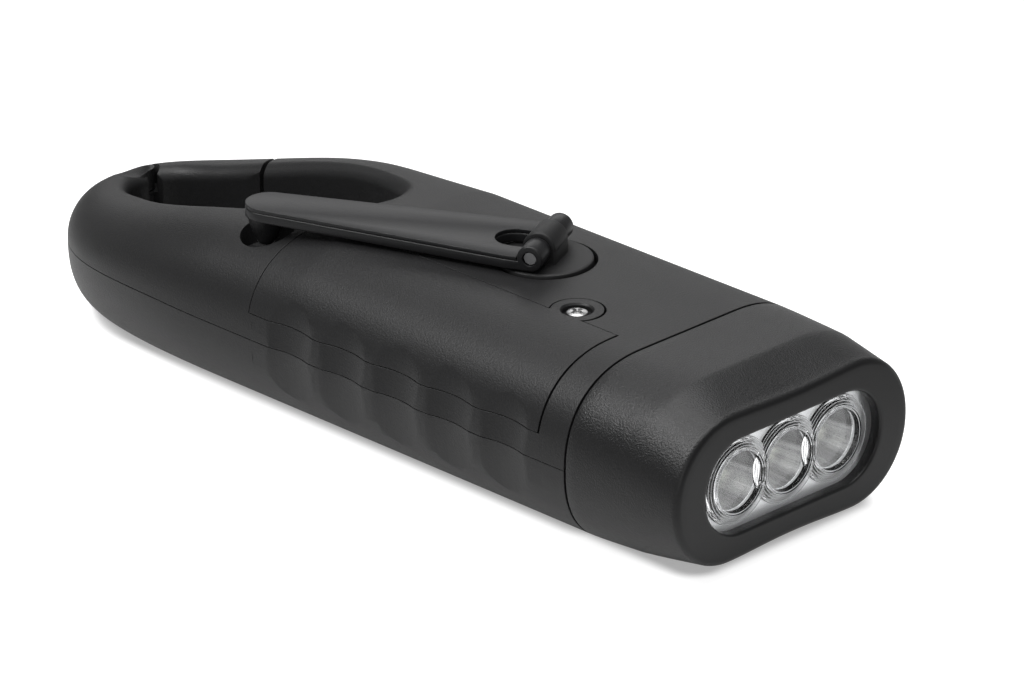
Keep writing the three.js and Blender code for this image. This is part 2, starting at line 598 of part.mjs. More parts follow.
// Height of the top line: a smooth ramp up from the tail, then level.
function topHeight(x) {
  const t = THREE.MathUtils.clamp(x / RAMP_END_X, 0, 1);
  const weights = [(1 - t) ** 3, 3 * t * (1 - t) ** 2, 3 * t ** 2 * (1 - t), t ** 3];
  const share = weights.reduce((sum, weight, i) => sum + weight * RAMP_SHARES[i], 0);
  return TAIL_TOP + (THICKNESS - TAIL_TOP) * share;
}

// Stations along the outline from the tail tip, each with its outward direction.
function stations(endX) {
  const list = [];
  for (let i = 0; i <= TAIL_STEPS; i++) {
    const angle = ((Math.PI / 2) * i) / TAIL_STEPS;
    const outward = new THREE.Vector2(-Math.cos(angle) / TAIL_LENGTH, Math.sin(angle) / HALF_WIDTH);
    outward.normalize();
    list.push({
      x: TAIL_LENGTH * (1 - Math.cos(angle)),
      y: HALF_WIDTH * Math.sin(angle),
      outX: outward.x,
      outY: outward.y,
    });
  }
  for (let i = 1; i <= RAMP_STEPS; i++) {
    const x = TAIL_LENGTH + ((RAMP_END_X - TAIL_LENGTH) * i) / RAMP_STEPS;
    list.push({ x, y: HALF_WIDTH, outX: 0, outY: 1 });
  }
  list.push({ x: endX, y: HALF_WIDTH, outX: 0, outY: 1 });
  return list;
}

// The side rounding as [way in from the outline, share of the rise] pairs, from the parting line up.
function sideCurve(round) {
  const pairs = [];
  for (let i = 0; i <= SIDE_STEPS; i++) {
    const angle = ((Math.PI / 2) * i) / SIDE_STEPS;
    const level = i === SIDE_STEPS ? 0 : Math.cos(angle) ** (2 / SIDE_POWER);
    pairs.push([round * (1 - level), Math.sin(angle) ** (2 / SIDE_POWER)]);
  }
  return pairs;
}

// The whole body from the tail to endX, drawn in on all sides by inset.
function bodyForm(inset, endX = SEAM_X - SEAM_GAP) {
  const curve = sideCurve(SIDE_ROUND - inset);
  const back = [...curve].reverse();
  const rings = stations(endX).map(({ x, y, outX, outY }) => {
    const at = (side, [depth, rise], upper) => {
      const px = x - outX * (inset + depth);
      const reach = upper ? topHeight(px) - inset - PARTING_Z : inset - PARTING_Z;
      return [px, side * (y - outY * (inset + depth)), PARTING_Z + reach * rise];
    };
    return [
      ...curve.map((pair) => at(-1, pair, true)),
      ...back.map((pair) => at(1, pair, true)),
      ...curve.slice(1).map((pair) => at(1, pair, false)),
      ...back.slice(0, -1).map((pair) => at(-1, pair, false)),
    ];
  });
  return toSolid(loft(rings, true));
}

// Outline of the carabiner's hole, grown on all sides.
function loopOutline(grow) {
  const controls = LOOP_OUTLINE_SHARES.map(
    ([along, across]) =>
      new THREE.Vector3(LOOP_START_X + along * LOOP_LENGTH, across * LOOP_HALF_WIDTH, 0),
  );
  const curve = new THREE.CatmullRomCurve3(controls, true, "centripetal");
  const points = [];
  for (let i = 0; i < LOOP_STEPS; i++) {
    const point = curve.getPointAt(i / LOOP_STEPS);
    const ahead = curve.getTangentAt(i / LOOP_STEPS);
    points.push([point.x + ahead.y * grow, point.y - ahead.x * grow]);
  }
  return points;
}

// The carabiner's hole with its rounded upper and lower edges.
function loopCutter() {
  const ring = (grow, height) => loopOutline(grow).map(([x, y]) => [x, y, height(x)]);
  const flare = [];
  for (let i = 0; i <= LOOP_EDGE_STEPS; i++) {
    const angle = ((Math.PI / 2) * i) / LOOP_EDGE_STEPS;
    flare.push([LOOP_EDGE_ROUND * (1 - Math.cos(angle)), LOOP_EDGE_ROUND * (1 - Math.sin(angle))]);
  }
  const lower = flare.map(([grow, depth]) => ring(grow, () => depth)).reverse();
  const upper = flare.map(([grow, depth]) => ring(grow, (x) => topHeight(x) - depth));
  const below = ring(LOOP_EDGE_ROUND, () => -OVERRUN);
  const above = ring(LOOP_EDGE_ROUND, (x) => topHeight(x) + OVERRUN);
  return toSolid(loft([below, ...lower, ...upper, above]));
}

function scallops() {
  const list = [];
  for (let i = 0; i < SCALLOP_COUNT; i++) {
    for (const side of [-1, 1]) {
      const x = SCALLOP_START_X + i * SCALLOP_PITCH;
      const y = side * (HALF_WIDTH - SCALLOP_DEPTH + SCALLOP_RADIUS);
      list.push(cylinder(SCALLOP_RADIUS, -OVERRUN, ABOVE, x, y, SCALLOP_FACETS));
    }
  }
  return list;
}

const form = cut(bodyForm(0), ...scallops());
const loopHole = loopCutter();

// Carabiner gate

// A sector about the gate pin, as deep as the ring.
function gateSector(reach, startDeg, endDeg) {
  const points = [[GATE_PIN_X, GATE_PIN_Y]];
  for (let i = 0; i <= WIDE_FACETS; i++) {
    const angle = radians(startDeg + ((endDeg - startDeg) * i) / WIDE_FACETS);
    points.push([GATE_PIN_X + reach * Math.cos(angle), GATE_PIN_Y + reach * Math.sin(angle)]);
  }
  return toSolid(prism(points, -OVERRUN, ABOVE));
}

const atGatePin = (radius, bottom, top, facets = ROUND_FACETS) =>
  toSolid(cylinder(radius, bottom, top, GATE_PIN_X, GATE_PIN_Y, facets));

function carabinerGate() {
  const arm = cut(
    common(form, gateSector(GATE_REACH, GATE_START_DEG, GATE_END_DEG)),
    loopHole,
    atGatePin(NOTCH_RADIUS, KNUCKLE_TOP, ABOVE),
    atGatePin(NOTCH_RADIUS, -OVERRUN, KNUCKLE_BOTTOM),
  );
  return cut(
    join(arm, atGatePin(KNUCKLE_RADIUS, KNUCKLE_BOTTOM, KNUCKLE_TOP)),
    atGatePin(GATE_PIN_RADIUS + FIT_GAP, -OVERRUN, ABOVE, PIN_FACETS),
    atGatePin(GATE_SPRING_ROOM, -OVERRUN, KNUCKLE_BOTTOM + GATE_SPRING_PITCH * (GATE_SPRING_TURNS + 1)),
  );
}

const gatePin = () => atGatePin(GATE_PIN_RADIUS, GATE_PIN_BOTTOM, GATE_PIN_TOP, PIN_FACETS);

// A coil round the gate pin, of round wire.
function gateSpring() {
  const steps = SPRING_STEPS * GATE_SPRING_TURNS;
  const rings = [];
  for (let i = 0; i <= steps; i++) {
    const turns = i / SPRING_STEPS;
    const angle = 2 * Math.PI * turns;
    const height = KNUCKLE_BOTTOM + GATE_SPRING_PITCH * turns;
    const ring = [];
    for (let k = 0; k < SPRING_SIDES; k++) {
      const around = (2 * Math.PI * k) / SPRING_SIDES;
      const reach = GATE_SPRING_RADIUS + GATE_SPRING_WIRE * Math.cos(around);
      ring.push([
        GATE_PIN_X + reach * Math.cos(angle),
        GATE_PIN_Y + reach * Math.sin(angle),
        height + GATE_SPRING_WIRE * Math.sin(around),
      ]);
    }
    rings.push(ring);
  }
  return loft(rings);
}

// Battery cover

// Where the cover lies, seen from above, and how far down the side it goes.
function coverRegion(grow) {
  return join(
    box(
      COVER_START_X - grow,
      COVER_END_X + grow,
      -HALF_WIDTH - OVERRUN,
      COVER_TOP_Y + grow,
      COVER_BOTTOM_Z - grow,
      ABOVE,
    ),
    cylinder(COVER_TAB_RADIUS + grow, PARTING_Z, ABOVE, COVER_TAB_X, COVER_TAB_Y, WIDE_FACETS),
  );
}

const atTab = (radius, bottom, top) => cylinder(radius, bottom, top, COVER_TAB_X, COVER_TAB_Y);

function batteryCover() {
  return cut(
    common(form, coverRegion(-SEAM_GAP)),
    bodyForm(WALL, SEAM_X),
    atTab(COVER_RECESS_RADIUS, THICKNESS - COVER_RECESS_DEPTH, ABOVE),
    atTab(COVER_SCREW_RADIUS + FIT_GAP, PARTING_Z, ABOVE),
  );
}

// The screw through the cover's tab, with a cross recess in its head.
function batteryCoverScrew() {
  const [x, y] = [COVER_TAB_X, COVER_TAB_Y];
  const seat = THICKNESS - COVER_RECESS_DEPTH + FIT_GAP / 2;
  const reach = COVER_SCREW_HEAD_RADIUS * DRIVE_SHARE;
  const floor = seat + COVER_SCREW_HEAD_HEIGHT - DRIVE_DEPTH;
  const half = DRIVE_WIDTH / 2;
  const whole = screw({
    x,
    y,
    seat,
    end: COVER_SCREW_END_Z,
    radius: COVER_SCREW_RADIUS,
    headRadius: COVER_SCREW_HEAD_RADIUS,
    headHeight: COVER_SCREW_HEAD_HEIGHT,
    facets: ROUND_FACETS,
  });
  return cut(
    whole,
    box(x - reach, x + reach, y - half, y + half, floor, ABOVE),
    box(x - half, x + half, y - reach, y + reach, floor, ABOVE),
  );
}

// The ledge round the opening on which the cover lies.
function coverLedge() {
  return cut(
    common(cut(coverRegion(COVER_LEDGE_OUT), coverRegion(-COVER_LEDGE_IN)), bodyForm(WALL / 2, SEAM_X)),
    bodyForm(WALL + COVER_LEDGE_THICKNESS, SEAM_X),
  );
}

// Casing

// The outer form with the loop and the gate's place cut out, for both halves.
function outerForm() {
  const relief = [KNUCKLE_BOTTOM - RUNNING_GAP, KNUCKLE_TOP + RUNNING_GAP];
  const ears = common(form, atGatePin(KNUCKLE_RADIUS, -OVERRUN, ABOVE));
  const open = cut(
    form,
    loopHole,
    gateSector(
      GATE_REACH + GATE_END_GAP,
      GATE_START_DEG - GATE_SWING_DEG - GATE_ROOM_DEG,
      GATE_END_DEG + GATE_ROOM_DEG,
    ),
  );
  return cut(
    join(open, ears),
    atGatePin(KNUCKLE_RADIUS + RUNNING_GAP, ...relief),
    atGatePin(GATE_PIN_RADIUS + FIT_GAP / 2, -OVERRUN, GATE_PIN_TOP + FIT_GAP, PIN_FACETS),
  );
}

function knobPocket(grow) {
  const [outer, inner] = [POCKET_RADIUS + grow, POCKET_FLOOR_RADIUS + grow];
  return frustum(inner, outer, POCKET_FLOOR_Z - grow, THICKNESS + grow, POCKET_X, POCKET_Y);
}

// The hollow inside both halves.
function cavity() {
  return cut(
    common(
      bodyForm(WALL, SEAM_X + OVERRUN),
      box(CAVITY_START_X, SEAM_X + OVERRUN, -HALF_WIDTH, HALF_WIDTH, 0, THICKNESS),
    ),
    prism(loopOutline(LOOP_EDGE_ROUND + WALL), -OVERRUN, ABOVE),
    knobPocket(POCKET_WALL),
  );
}

const screwBosses = (bottom, top) =>
  CASING_SCREWS.map(([x, y]) => cylinder(CASING_BOSS_RADIUS, bottom, top, x, y));

const screwHoles = () =>
  CASING_SCREWS.map(([x, y]) =>
    cylinder(CASING_SCREW_RADIUS + FIT_GAP, -OVERRUN, CASING_SCREW_END_Z + FIT_GAP, x, y, PIN_FACETS),
  );

// The two walls at the ends of the battery bay.
function bayEnds(bottom, top) {
  return [BAY_REAR_X - BAY_WALL, BAY_FRONT_X].map((x) =>
    box(x, x + BAY_WALL, -HALF_WIDTH, BAY_SIDE_Y, bottom, top),
  );
}

const bayRibs = (endY, bottom, top) =>
  BAY_RIB_X.map((x) => box(x, x + BAY_WALL, -HALF_WIDTH, endY, bottom, top));

const cellRooms = () =>
  [CELL_LOWER_Z, CELL_UPPER_Z].map((z) =>
    alongX(cylinder(CELL_RADIUS + FIT_GAP, BAY_REAR_X, BAY_FRONT_X, CELL_Y, z, WIDE_FACETS)),
  );

const shell = cut(outerForm(), cavity());
const lining = bodyForm(WALL / 2, SEAM_X);

function upperCasing() {
  const bottom = PARTING_Z + SEAM_GAP;
  const half = common(shell, box(-OVERRUN, LENGTH, -HALF_WIDTH, HALF_WIDTH, bottom, ABOVE));
  const fittings = cut(
    join(
      ...screwBosses(bottom, THICKNESS),
      ...bayEnds(bottom, THICKNESS),
      ...bayRibs(BAY_UPPER_RIB_Y, bottom, COVER_BOTTOM_Z),
      atTab(COVER_BOSS_RADIUS, COVER_BOSS_BOTTOM, THICKNESS),
      atTab(COVER_TAB_RADIUS + COVER_LEDGE_OUT, THICKNESS - WALL - COVER_LEDGE_THICKNESS, THICKNESS),
      cylinder(
        HUB_RADIUS + HUB_GAP + HUB_CUP_WALL,
        HUB_RECESS_FLOOR - HUB_CUP_FLOOR,
        THICKNESS,
        ...CRANK_AXIS,
        WIDE_FACETS,
      ),
    ),
    ...cellRooms(),
  );
  return cut(
    join(half, common(lining, fittings), coverLedge()),
    cut(coverRegion(0), bodyForm(WALL + SEAM_GAP, SEAM_X)),
    knobPocket(0),
    cylinder(HUB_RADIUS + HUB_GAP, HUB_RECESS_FLOOR, ABOVE, ...CRANK_AXIS, WIDE_FACETS),
    cylinder(SPINDLE_RADIUS + FIT_GAP, PARTING_Z, ABOVE, ...CRANK_AXIS),
    atTab(COVER_SCREW_RADIUS + FIT_GAP, COVER_SCREW_END_Z - FIT_GAP, ABOVE),
    ...screwHoles(),
  );
}

function boardFeet() {
  const list = [];
  for (const x of [BOARD_START_X + BOARD_FOOT_INSET, BOARD_END_X - BOARD_FOOT_INSET]) {
    for (const y of [BOARD_START_Y + BOARD_FOOT_INSET, BOARD_END_Y - BOARD_FOOT_INSET]) list.push([x, y]);
  }
  return list;
}

function lowerCasing() {
  const top = PARTING_Z - SEAM_GAP;
  const half = common(shell, box(-OVERRUN, LENGTH, -HALF_WIDTH, HALF_WIDTH, -OVERRUN, top));
  const pegTop = BOARD_BOTTOM + BOARD_THICKNESS + BOARD_PEG_RISE;
  const fittings = cut(
    join(
      ...screwBosses(0, top),
      ...bayEnds(0, top),
      ...bayRibs(BAY_SIDE_Y, 0, top),
      ...PILLARS.map(([x, y]) => cylinder(POST_RADIUS, 0, LOWER_PLATE_BOTTOM - FIT_GAP, x, y)),
      ...boardFeet().flatMap(([x, y]) => [
        cylinder(BOARD_FOOT_RADIUS, 0, BOARD_BOTTOM - FIT_GAP, x, y, PIN_FACETS),
        cylinder(BOARD_PEG_RADIUS, 0, pegTop, x, y, PIN_FACETS),
      ]),
      cylinder(YOKE_PAD_RADIUS, 0, YOKE_BOTTOM - FIT_GAP, ...ROTOR_AXIS),
    ),
    ...cellRooms(),
    ...PILLARS.map(([x, y]) =>
      cylinder(PLATE_SCREW_RADIUS + FIT_GAP, PLATE_SCREW_END_Z - FIT_GAP, THICKNESS, x, y, PIN_FACETS),
    ),
  );
  return cut(
    join(half, common(lining, fittings)),
    cylinder(BUTTON_RADIUS + RUNNING_GAP, -OVERRUN, WALL + FIT_GAP, BUTTON_X, BUTTON_Y, WIDE_FACETS),
    ...screwHoles(),
    ...CASING_SCREWS.map(([x, y]) =>
      cylinder(CASING_SCREW_HEAD_RADIUS + FIT_GAP, -OVERRUN, CASING_SCREW_SEAT + FIT_GAP, x, y),
    ),
  );
}

const casingScrew = ([x, y]) =>
  screw({
    x,
    y,
    seat: CASING_SCREW_SEAT,
    end: CASING_SCREW_END_Z,
    radius: CASING_SCREW_RADIUS,
    headRadius: CASING_SCREW_HEAD_RADIUS,
    headHeight: CASING_SCREW_HEAD_HEIGHT,
  });

// Head

// One ring across the head. The share is 0 for the body's own section and 1 for the front outline;
// placeX gives the ring's x for a height, measured as a share of the half height.
function headRing(share, inset, placeX) {
  const blend = (a, b) => a + (b - a) * share;
  const quarter = sideCurve(SIDE_ROUND - inset).map(([depth, rise], i) => {
    const angle = ((Math.PI / 2) * i) / SIDE_STEPS;
    const frontRound = FRONT_ROUND - inset;
    return [
      blend(
        HALF_WIDTH - inset - depth,
        FRONT_HALF_WIDTH - inset - frontRound * (1 - Math.cos(angle)),
      ),
      blend(
        (PARTING_Z - inset) * rise,
        FRONT_HALF_HEIGHT - inset - frontRound * (1 - Math.sin(angle)),
      ),
    ];
  });
  const [edgeY, edgeZ] = quarter[SIDE_STEPS];
  const level = [];
  for (let i = 1; i < WAIST_STEPS; i++) {
    const across = 1 - (2 * i) / WAIST_STEPS;
    const dip = FRONT_WAIST * share * (1 - across ** 2) ** 2;
    level.push([edgeY * across, edgeZ - dip]);
  }
  const upper = [...quarter, ...level, ...quarter.map(([y, z]) => [-y, z]).reverse()];
  const lower = upper.slice(1, -1).map(([y, z]) => [y, -z]).reverse();
  return [...upper, ...lower].map(([y, z]) => [placeX(z / PARTING_Z), y, PARTING_Z + z]);
}

const kinkX = (heightShare) =>
  (KINK_TOP_X + KINK_BOTTOM_X) / 2 + ((KINK_TOP_X - KINK_BOTTOM_X) / 2) * heightShare;

const straightHead = (inset, startX, endX) =>
  loft([startX, endX].map((x) => headRing(0, inset, () => x)));

function headForm() {
  const rings = [headRing(0, 0, () => SEAM_X + SEAM_GAP), headRing(0, 0, kinkX)];
  for (let i = 0; i <= FRONT_EDGE_STEPS; i++) {
    const angle = ((Math.PI / 2) * i) / FRONT_EDGE_STEPS;
    const inset = FRONT_EDGE_ROUND * (1 - Math.cos(angle));
    const x = LENGTH - FRONT_EDGE_ROUND * (1 - Math.sin(angle));
    rings.push(headRing(1, inset, () => x));
  }
  return toSolid(loft(rings));
}

const window = (grow, startX, endX) =>
  alongX(
    prism(
      stadium(WINDOW_HALF_WIDTH + grow, WINDOW_HALF_HEIGHT + grow, 0, PARTING_Z),
      startX,
      endX,
    ),
  );

const LENS_FRONT_X = LENGTH - LENS_RECESS;
const LENS_FLANGE_FRONT_X = LENS_FRONT_X - LENS_PLUG_LENGTH;
const LENS_BACK_X = LENS_FLANGE_FRONT_X - LENS_FLANGE_THICKNESS;
const REFLECTOR_FRONT_X = LENS_BACK_X - FIT_GAP;
const REFLECTOR_BACK_X = REFLECTOR_FRONT_X - REFLECTOR_PLATE;
const LED_START_X = LED_BOARD_X + LED_BOARD_THICKNESS + FIT_GAP;

const ledPlaces = () => {
  const list = [];
  for (let i = 0; i < LED_COUNT; i++) list.push((i - (LED_COUNT - 1) / 2) * LED_PITCH);
  return list;
};

function headBezel() {
  return cut(
    join(headForm(), straightHead(SPIGOT_INSET, SEAM_X - SPIGOT_LENGTH, SEAM_X + SPIGOT_ROOT)),
    straightHead(HEAD_WALL, SEAM_X - OVERRUN, HEAD_CAVITY_END_X),
    window(LENS_FLANGE + FIT_GAP, HEAD_CAVITY_END_X - OVERRUN, LENS_FLANGE_FRONT_X + FIT_GAP),
    window(0, HEAD_CAVITY_END_X, LENGTH + OVERRUN),
  );
}

function lens() {
  const rings = ledPlaces().map((y) =>
    alongX(
      tube(
        LENS_RING_RADIUS,
        LENS_RING_RADIUS - LENS_RING_WIDTH,
        LENS_FRONT_X - LENS_RING_HEIGHT,
        LENS_FRONT_X + LENS_RING_HEIGHT,
        y,
        PARTING_Z,
      ),
    ),
  );
  return join(
    window(-FIT_GAP, LENS_BACK_X, LENS_FRONT_X),
    window(LENS_FLANGE, LENS_BACK_X, LENS_FLANGE_FRONT_X),
    ...rings,
  );
}

function reflector() {
  const throatX = REFLECTOR_FRONT_X - CUP_DEPTH;
  const inside = [];
  for (let i = 0; i <= CUP_STEPS; i++) {
    const t = i / CUP_STEPS;
    inside.push([
      CUP_THROAT_RADIUS + (CUP_RADIUS - CUP_THROAT_RADIUS) * Math.sqrt(t),
      throatX + CUP_DEPTH * t,
    ]);
  }
  const outside = inside.map(([radius, x]) => [radius + CUP_WALL, x]);
  const hollow = [
    [0, throatX - OVERRUN],
    [CUP_THROAT_RADIUS, throatX - OVERRUN],
    ...inside,
    [CUP_RADIUS, REFLECTOR_FRONT_X + OVERRUN],
    [0, REFLECTOR_FRONT_X + OVERRUN],
  ];
  const cups = ledPlaces().map((y) =>
    alongX(turned([[0, throatX], ...outside, [0, REFLECTOR_FRONT_X]], y, PARTING_Z)),
  );
  const posts = [-REFLECTOR_POST_Y, REFLECTOR_POST_Y].map((y) =>
    alongX(
      cylinder(REFLECTOR_POST_RADIUS, LED_START_X, REFLECTOR_FRONT_X, y, PARTING_Z, PIN_FACETS),
    ),
  );
  return cut(
    join(window(REFLECTOR_MARGIN, REFLECTOR_BACK_X, REFLECTOR_FRONT_X), ...cups, ...posts),
    ...ledPlaces().map((y) => alongX(turned(hollow, y, PARTING_Z))),
  );
}

function led(y) {
  const domeX = LED_START_X + LED_LENGTH - LED_RADIUS;
  const profile = [
    [0, LED_START_X],
    [LED_FLANGE_RADIUS, LED_START_X],
    [LED_FLANGE_RADIUS, LED_START_X + LED_FLANGE_THICKNESS],
    [LED_RADIUS, LED_START_X + LED_FLANGE_THICKNESS],
  ];
  for (let i = 0; i < CORNER_STEPS; i++) {
    const angle = ((Math.PI / 2) * i) / CORNER_STEPS;
    profile.push([LED_RADIUS * Math.cos(angle), domeX + LED_RADIUS * Math.sin(angle)]);
  }
  profile.push([0, domeX + LED_RADIUS]);
  return alongX(turned(profile, y, PARTING_Z, PIN_FACETS));
}

const ledBoard = () =>
  box(
    LED_BOARD_X,
    LED_BOARD_X + LED_BOARD_THICKNESS,
    -LED_BOARD_HALF_WIDTH,
    LED_BOARD_HALF_WIDTH,
    PARTING_Z - LED_BOARD_HALF_HEIGHT,
    PARTING_Z + LED_BOARD_HALF_HEIGHT,
  );

// Crank, in its own frame: the spindle at the origin, X towards the folded arm's tip

const crankGroup = new THREE.Group();
crankGroup.position.set(CRANK_X, CRANK_Y, 0);
crankGroup.rotation.z = radians(CRANK_TURN_DEG);
root.add(crankGroup);

// A cylinder along the hinge axis.
function onHinge(radius, startY, endY, facets = ROUND_FACETS) {
  const geometry = new THREE.CylinderGeometry(radius, radius, endY - startY, facets);
  return geometry.translate(0, (startY + endY) / 2, HINGE_HEIGHT);
}

function crankHub() {
  const stem = [
    [0, CRANK_GEAR_BOTTOM],
    [SPINDLE_TIP_RADIUS, CRANK_GEAR_BOTTOM],
    [SPINDLE_TIP_RADIUS, SPINDLE_SHOULDER],
    [SPINDLE_RADIUS, SPINDLE_SHOULDER],
    [SPINDLE_RADIUS, HUB_BOTTOM],
    [HUB_RADIUS, HUB_BOTTOM],
    [HUB_RADIUS, HUB_TOP],
    [0, HUB_TOP],
  ];
  return cut(
    join(
      turned(stem, 0, 0, WIDE_FACETS),
      onHinge(LUG_RADIUS, -LUG_HALF_WIDTH, LUG_HALF_WIDTH),
      box(-LUG_RADIUS, LUG_RADIUS, -LUG_HALF_WIDTH, LUG_HALF_WIDTH, HUB_BOTTOM, HINGE_HEIGHT),
    ),
    onHinge(HINGE_PIN_RADIUS + FIT_GAP / 2, -OVERRUN, OVERRUN, PIN_FACETS),
    cylinder(GEAR_SCREW_RADIUS + FIT_GAP, PARTING_Z, SPINDLE_BORE_TOP, 0, 0, PIN_FACETS),
  );
}

// The arm's outline from above: straight sides that taper to a round tip.
function armOutline() {
  const slope = Math.asin((BARREL_HALF_LENGTH - ARM_TIP_RADIUS) / (KNOB_REACH - ARM_SHOULDER_REACH));
  const points = [[0, -BARREL_HALF_LENGTH], [ARM_SHOULDER_REACH, -BARREL_HALF_LENGTH]];
  for (let i = -CORNER_STEPS; i <= CORNER_STEPS; i++) {
    const angle = ((Math.PI / 2 - slope) * i) / CORNER_STEPS;
    points.push([KNOB_REACH + ARM_TIP_RADIUS * Math.cos(angle), ARM_TIP_RADIUS * Math.sin(angle)]);
  }
  return [...points, [ARM_SHOULDER_REACH, BARREL_HALF_LENGTH], [0, BARREL_HALF_LENGTH]];
}

// The fork's slot, open at the hinge end, with a round inner end.
function armSlot() {
  const half = LUG_HALF_WIDTH + FORK_GAP;
  const outline = [[-OVERRUN, -half]];
  for (let i = -CORNER_STEPS; i <= CORNER_STEPS; i++) {
    const angle = ((Math.PI / 2) * i) / CORNER_STEPS;
    outline.push([ARM_SLOT_REACH + half * (Math.cos(angle) - 1), half * Math.sin(angle)]);
  }
  outline.push([-OVERRUN, half]);
  return prism(outline, PARTING_Z, HINGE_HEIGHT + OVERRUN);
}

const atKnob = (radius, bottom, top) => cylinder(radius, bottom, top, KNOB_REACH, 0);

const WASHER_BOTTOM = ARM_BASE_TOP - KNOB_WASHER_THICKNESS - FIT_GAP;
const KNOB_SEAT_Z = ARM_BOTTOM + KNOB_SEAT_DEPTH;

function crankArm() {
  return cut(
    join(
      prism(armOutline(), ARM_BOTTOM, ARM_BASE_TOP),
      onHinge(BARREL_RADIUS, -BARREL_HALF_LENGTH, BARREL_HALF_LENGTH),
    ),
    armSlot(),
    onHinge(HINGE_PIN_RADIUS + FIT_GAP, -HALF_WIDTH, HALF_WIDTH, PIN_FACETS),
    atKnob(KNOB_RADIUS + FIT_GAP, PARTING_Z, KNOB_SEAT_Z + FIT_GAP),
    atKnob(KNOB_SHANK_RADIUS + FIT_GAP, PARTING_Z, ABOVE),
    atKnob(KNOB_WASHER_RADIUS + FIT_GAP, WASHER_BOTTOM - FIT_GAP, ABOVE),
  );
}

function crankArmCover() {
  const bottom = ARM_BASE_TOP + ARM_COVER_GAP;
  return cut(
    prism(armOutline(), bottom, bottom + ARM_COVER_THICKNESS),
    armSlot(),
    onHinge(BARREL_RADIUS + FIT_GAP, -HALF_WIDTH, HALF_WIDTH),
  );
}

const crankHingePin = () =>
  onHinge(HINGE_PIN_RADIUS, -HINGE_PIN_HALF_LENGTH, HINGE_PIN_HALF_LENGTH, PIN_FACETS);

function crankKnob() {
  const bottom = THICKNESS + KNOB_CLEARANCE;
  const profile = [
    [0, bottom],
    [KNOB_TIP_RADIUS, bottom],
    [KNOB_RADIUS, bottom + KNOB_TIP_HEIGHT],
    [KNOB_RADIUS, KNOB_SEAT_Z],
    [KNOB_SHANK_RADIUS, KNOB_SEAT_Z],
    [KNOB_SHANK_RADIUS, WASHER_BOTTOM + KNOB_WASHER_THICKNESS],
    [0, WASHER_BOTTOM + KNOB_WASHER_THICKNESS],
  ];
  return turned(profile, KNOB_REACH, 0);
}

const knobWasher = () =>
  tube(
    KNOB_WASHER_RADIUS,
    KNOB_SHANK_RADIUS + FIT_GAP / 2,
    WASHER_BOTTOM,
    WASHER_BOTTOM + KNOB_WASHER_THICKNESS,
    KNOB_REACH,
    0,
  );

// Gear train

// A spur gear with straight-sided teeth, one of them centred on a direction.
function spur(teeth, directionDeg, bottom, top, [x, y]) {
  const pitchRadius = (MODULE * teeth) / 2;
  const tip = pitchRadius + MODULE * ADDENDUM_SHARE;
  const rootRadius = pitchRadius - MODULE * DEDENDUM_SHARE;
  const pitchAngle = (2 * Math.PI) / teeth;
  const points = [];
  for (let i = 0; i < teeth; i++) {
    const middle = radians(directionDeg) + i * pitchAngle;
    const corners = [
      [rootRadius, -TOOTH_ROOT_SHARE / 2],
      [tip, -TOOTH_TIP_SHARE / 2],
      [tip, TOOTH_TIP_SHARE / 2],
      [rootRadius, TOOTH_ROOT_SHARE / 2],
    ];
    for (const [radius, share] of corners) {
      const angle = middle + share * pitchAngle;
      points.push([x + radius * Math.cos(angle), y + radius * Math.sin(angle)]);
    }
  }
  return prism(points, bottom, top);
}

// The direction in which a follower's tooth points when a gap faces the gear before it.
const gapTowards = (teeth, directionDeg) => directionDeg + 180 + 180 / teeth;

const bore = ([x, y], radius = AXLE_RADIUS + FIT_GAP) => cylinder(radius, 0, ABOVE, x, y, PIN_FACETS);

const crankGear = () =>
  cut(
    spur(CRANK_TEETH, IDLER_1_DEG, CRANK_GEAR_BOTTOM, CRANK_GEAR_TOP, CRANK_AXIS),
    cylinder(SPINDLE_TIP_RADIUS + FIT_GAP, 0, ABOVE, ...CRANK_AXIS, WIDE_FACETS),
  );

const crankGearScrew = () =>
  screw({
    x: CRANK_X,
    y: CRANK_Y,
    seat: CRANK_GEAR_BOTTOM - FIT_GAP,
    end: SPINDLE_BORE_TOP - FIT_GAP,
    radius: GEAR_SCREW_RADIUS,
    headRadius: GEAR_SCREW_HEAD_RADIUS,
    headHeight: GEAR_SCREW_HEAD_HEIGHT,
  });

const idlerGear1 = () =>
  cut(
    join(
      spur(IDLER_1_TEETH, IDLER_2_DEG, IDLER_1_BOTTOM, IDLER_1_WHEEL_TOP, IDLER_1_AXIS),
      spur(
        IDLER_1_PINION_TEETH,
        gapTowards(IDLER_1_PINION_TEETH, IDLER_1_DEG),
        IDLER_1_BOTTOM,
        CRANK_GEAR_TOP,
        IDLER_1_AXIS,
      ),
    ),
    bore(IDLER_1_AXIS),
  );

const idlerGear2 = () =>
  cut(
    join(
      spur(IDLER_2_TEETH, ROTOR_DEG, IDLER_2_BOTTOM, IDLER_2_WHEEL_TOP, IDLER_2_AXIS),
      spur(
        IDLER_2_PINION_TEETH,
        gapTowards(IDLER_2_PINION_TEETH, IDLER_2_DEG),
        IDLER_2_BOTTOM,
        IDLER_2_PINION_TOP,
        IDLER_2_AXIS,
      ),
    ),
    bore(IDLER_2_AXIS),
  );

const axle = ([x, y]) =>
  cylinder(AXLE_RADIUS, LOWER_PLATE_BOTTOM + FIT_GAP, UPPER_PLATE_TOP - FIT_GAP, x, y, PIN_FACETS);

const plateOutline = () => {
  const [left, right, near] = PILLARS;
  return rounded([near, IDLER_2_AXIS, right, left], PLATE_CORNER_RADIUS);
};

const plateHoles = () => [
  ...PILLARS.map((centre) => bore(centre, PLATE_SCREW_RADIUS + FIT_GAP)),
  ...[IDLER_1_AXIS, IDLER_2_AXIS].map((centre) => bore(centre, AXLE_RADIUS + FIT_GAP / 2)),
];

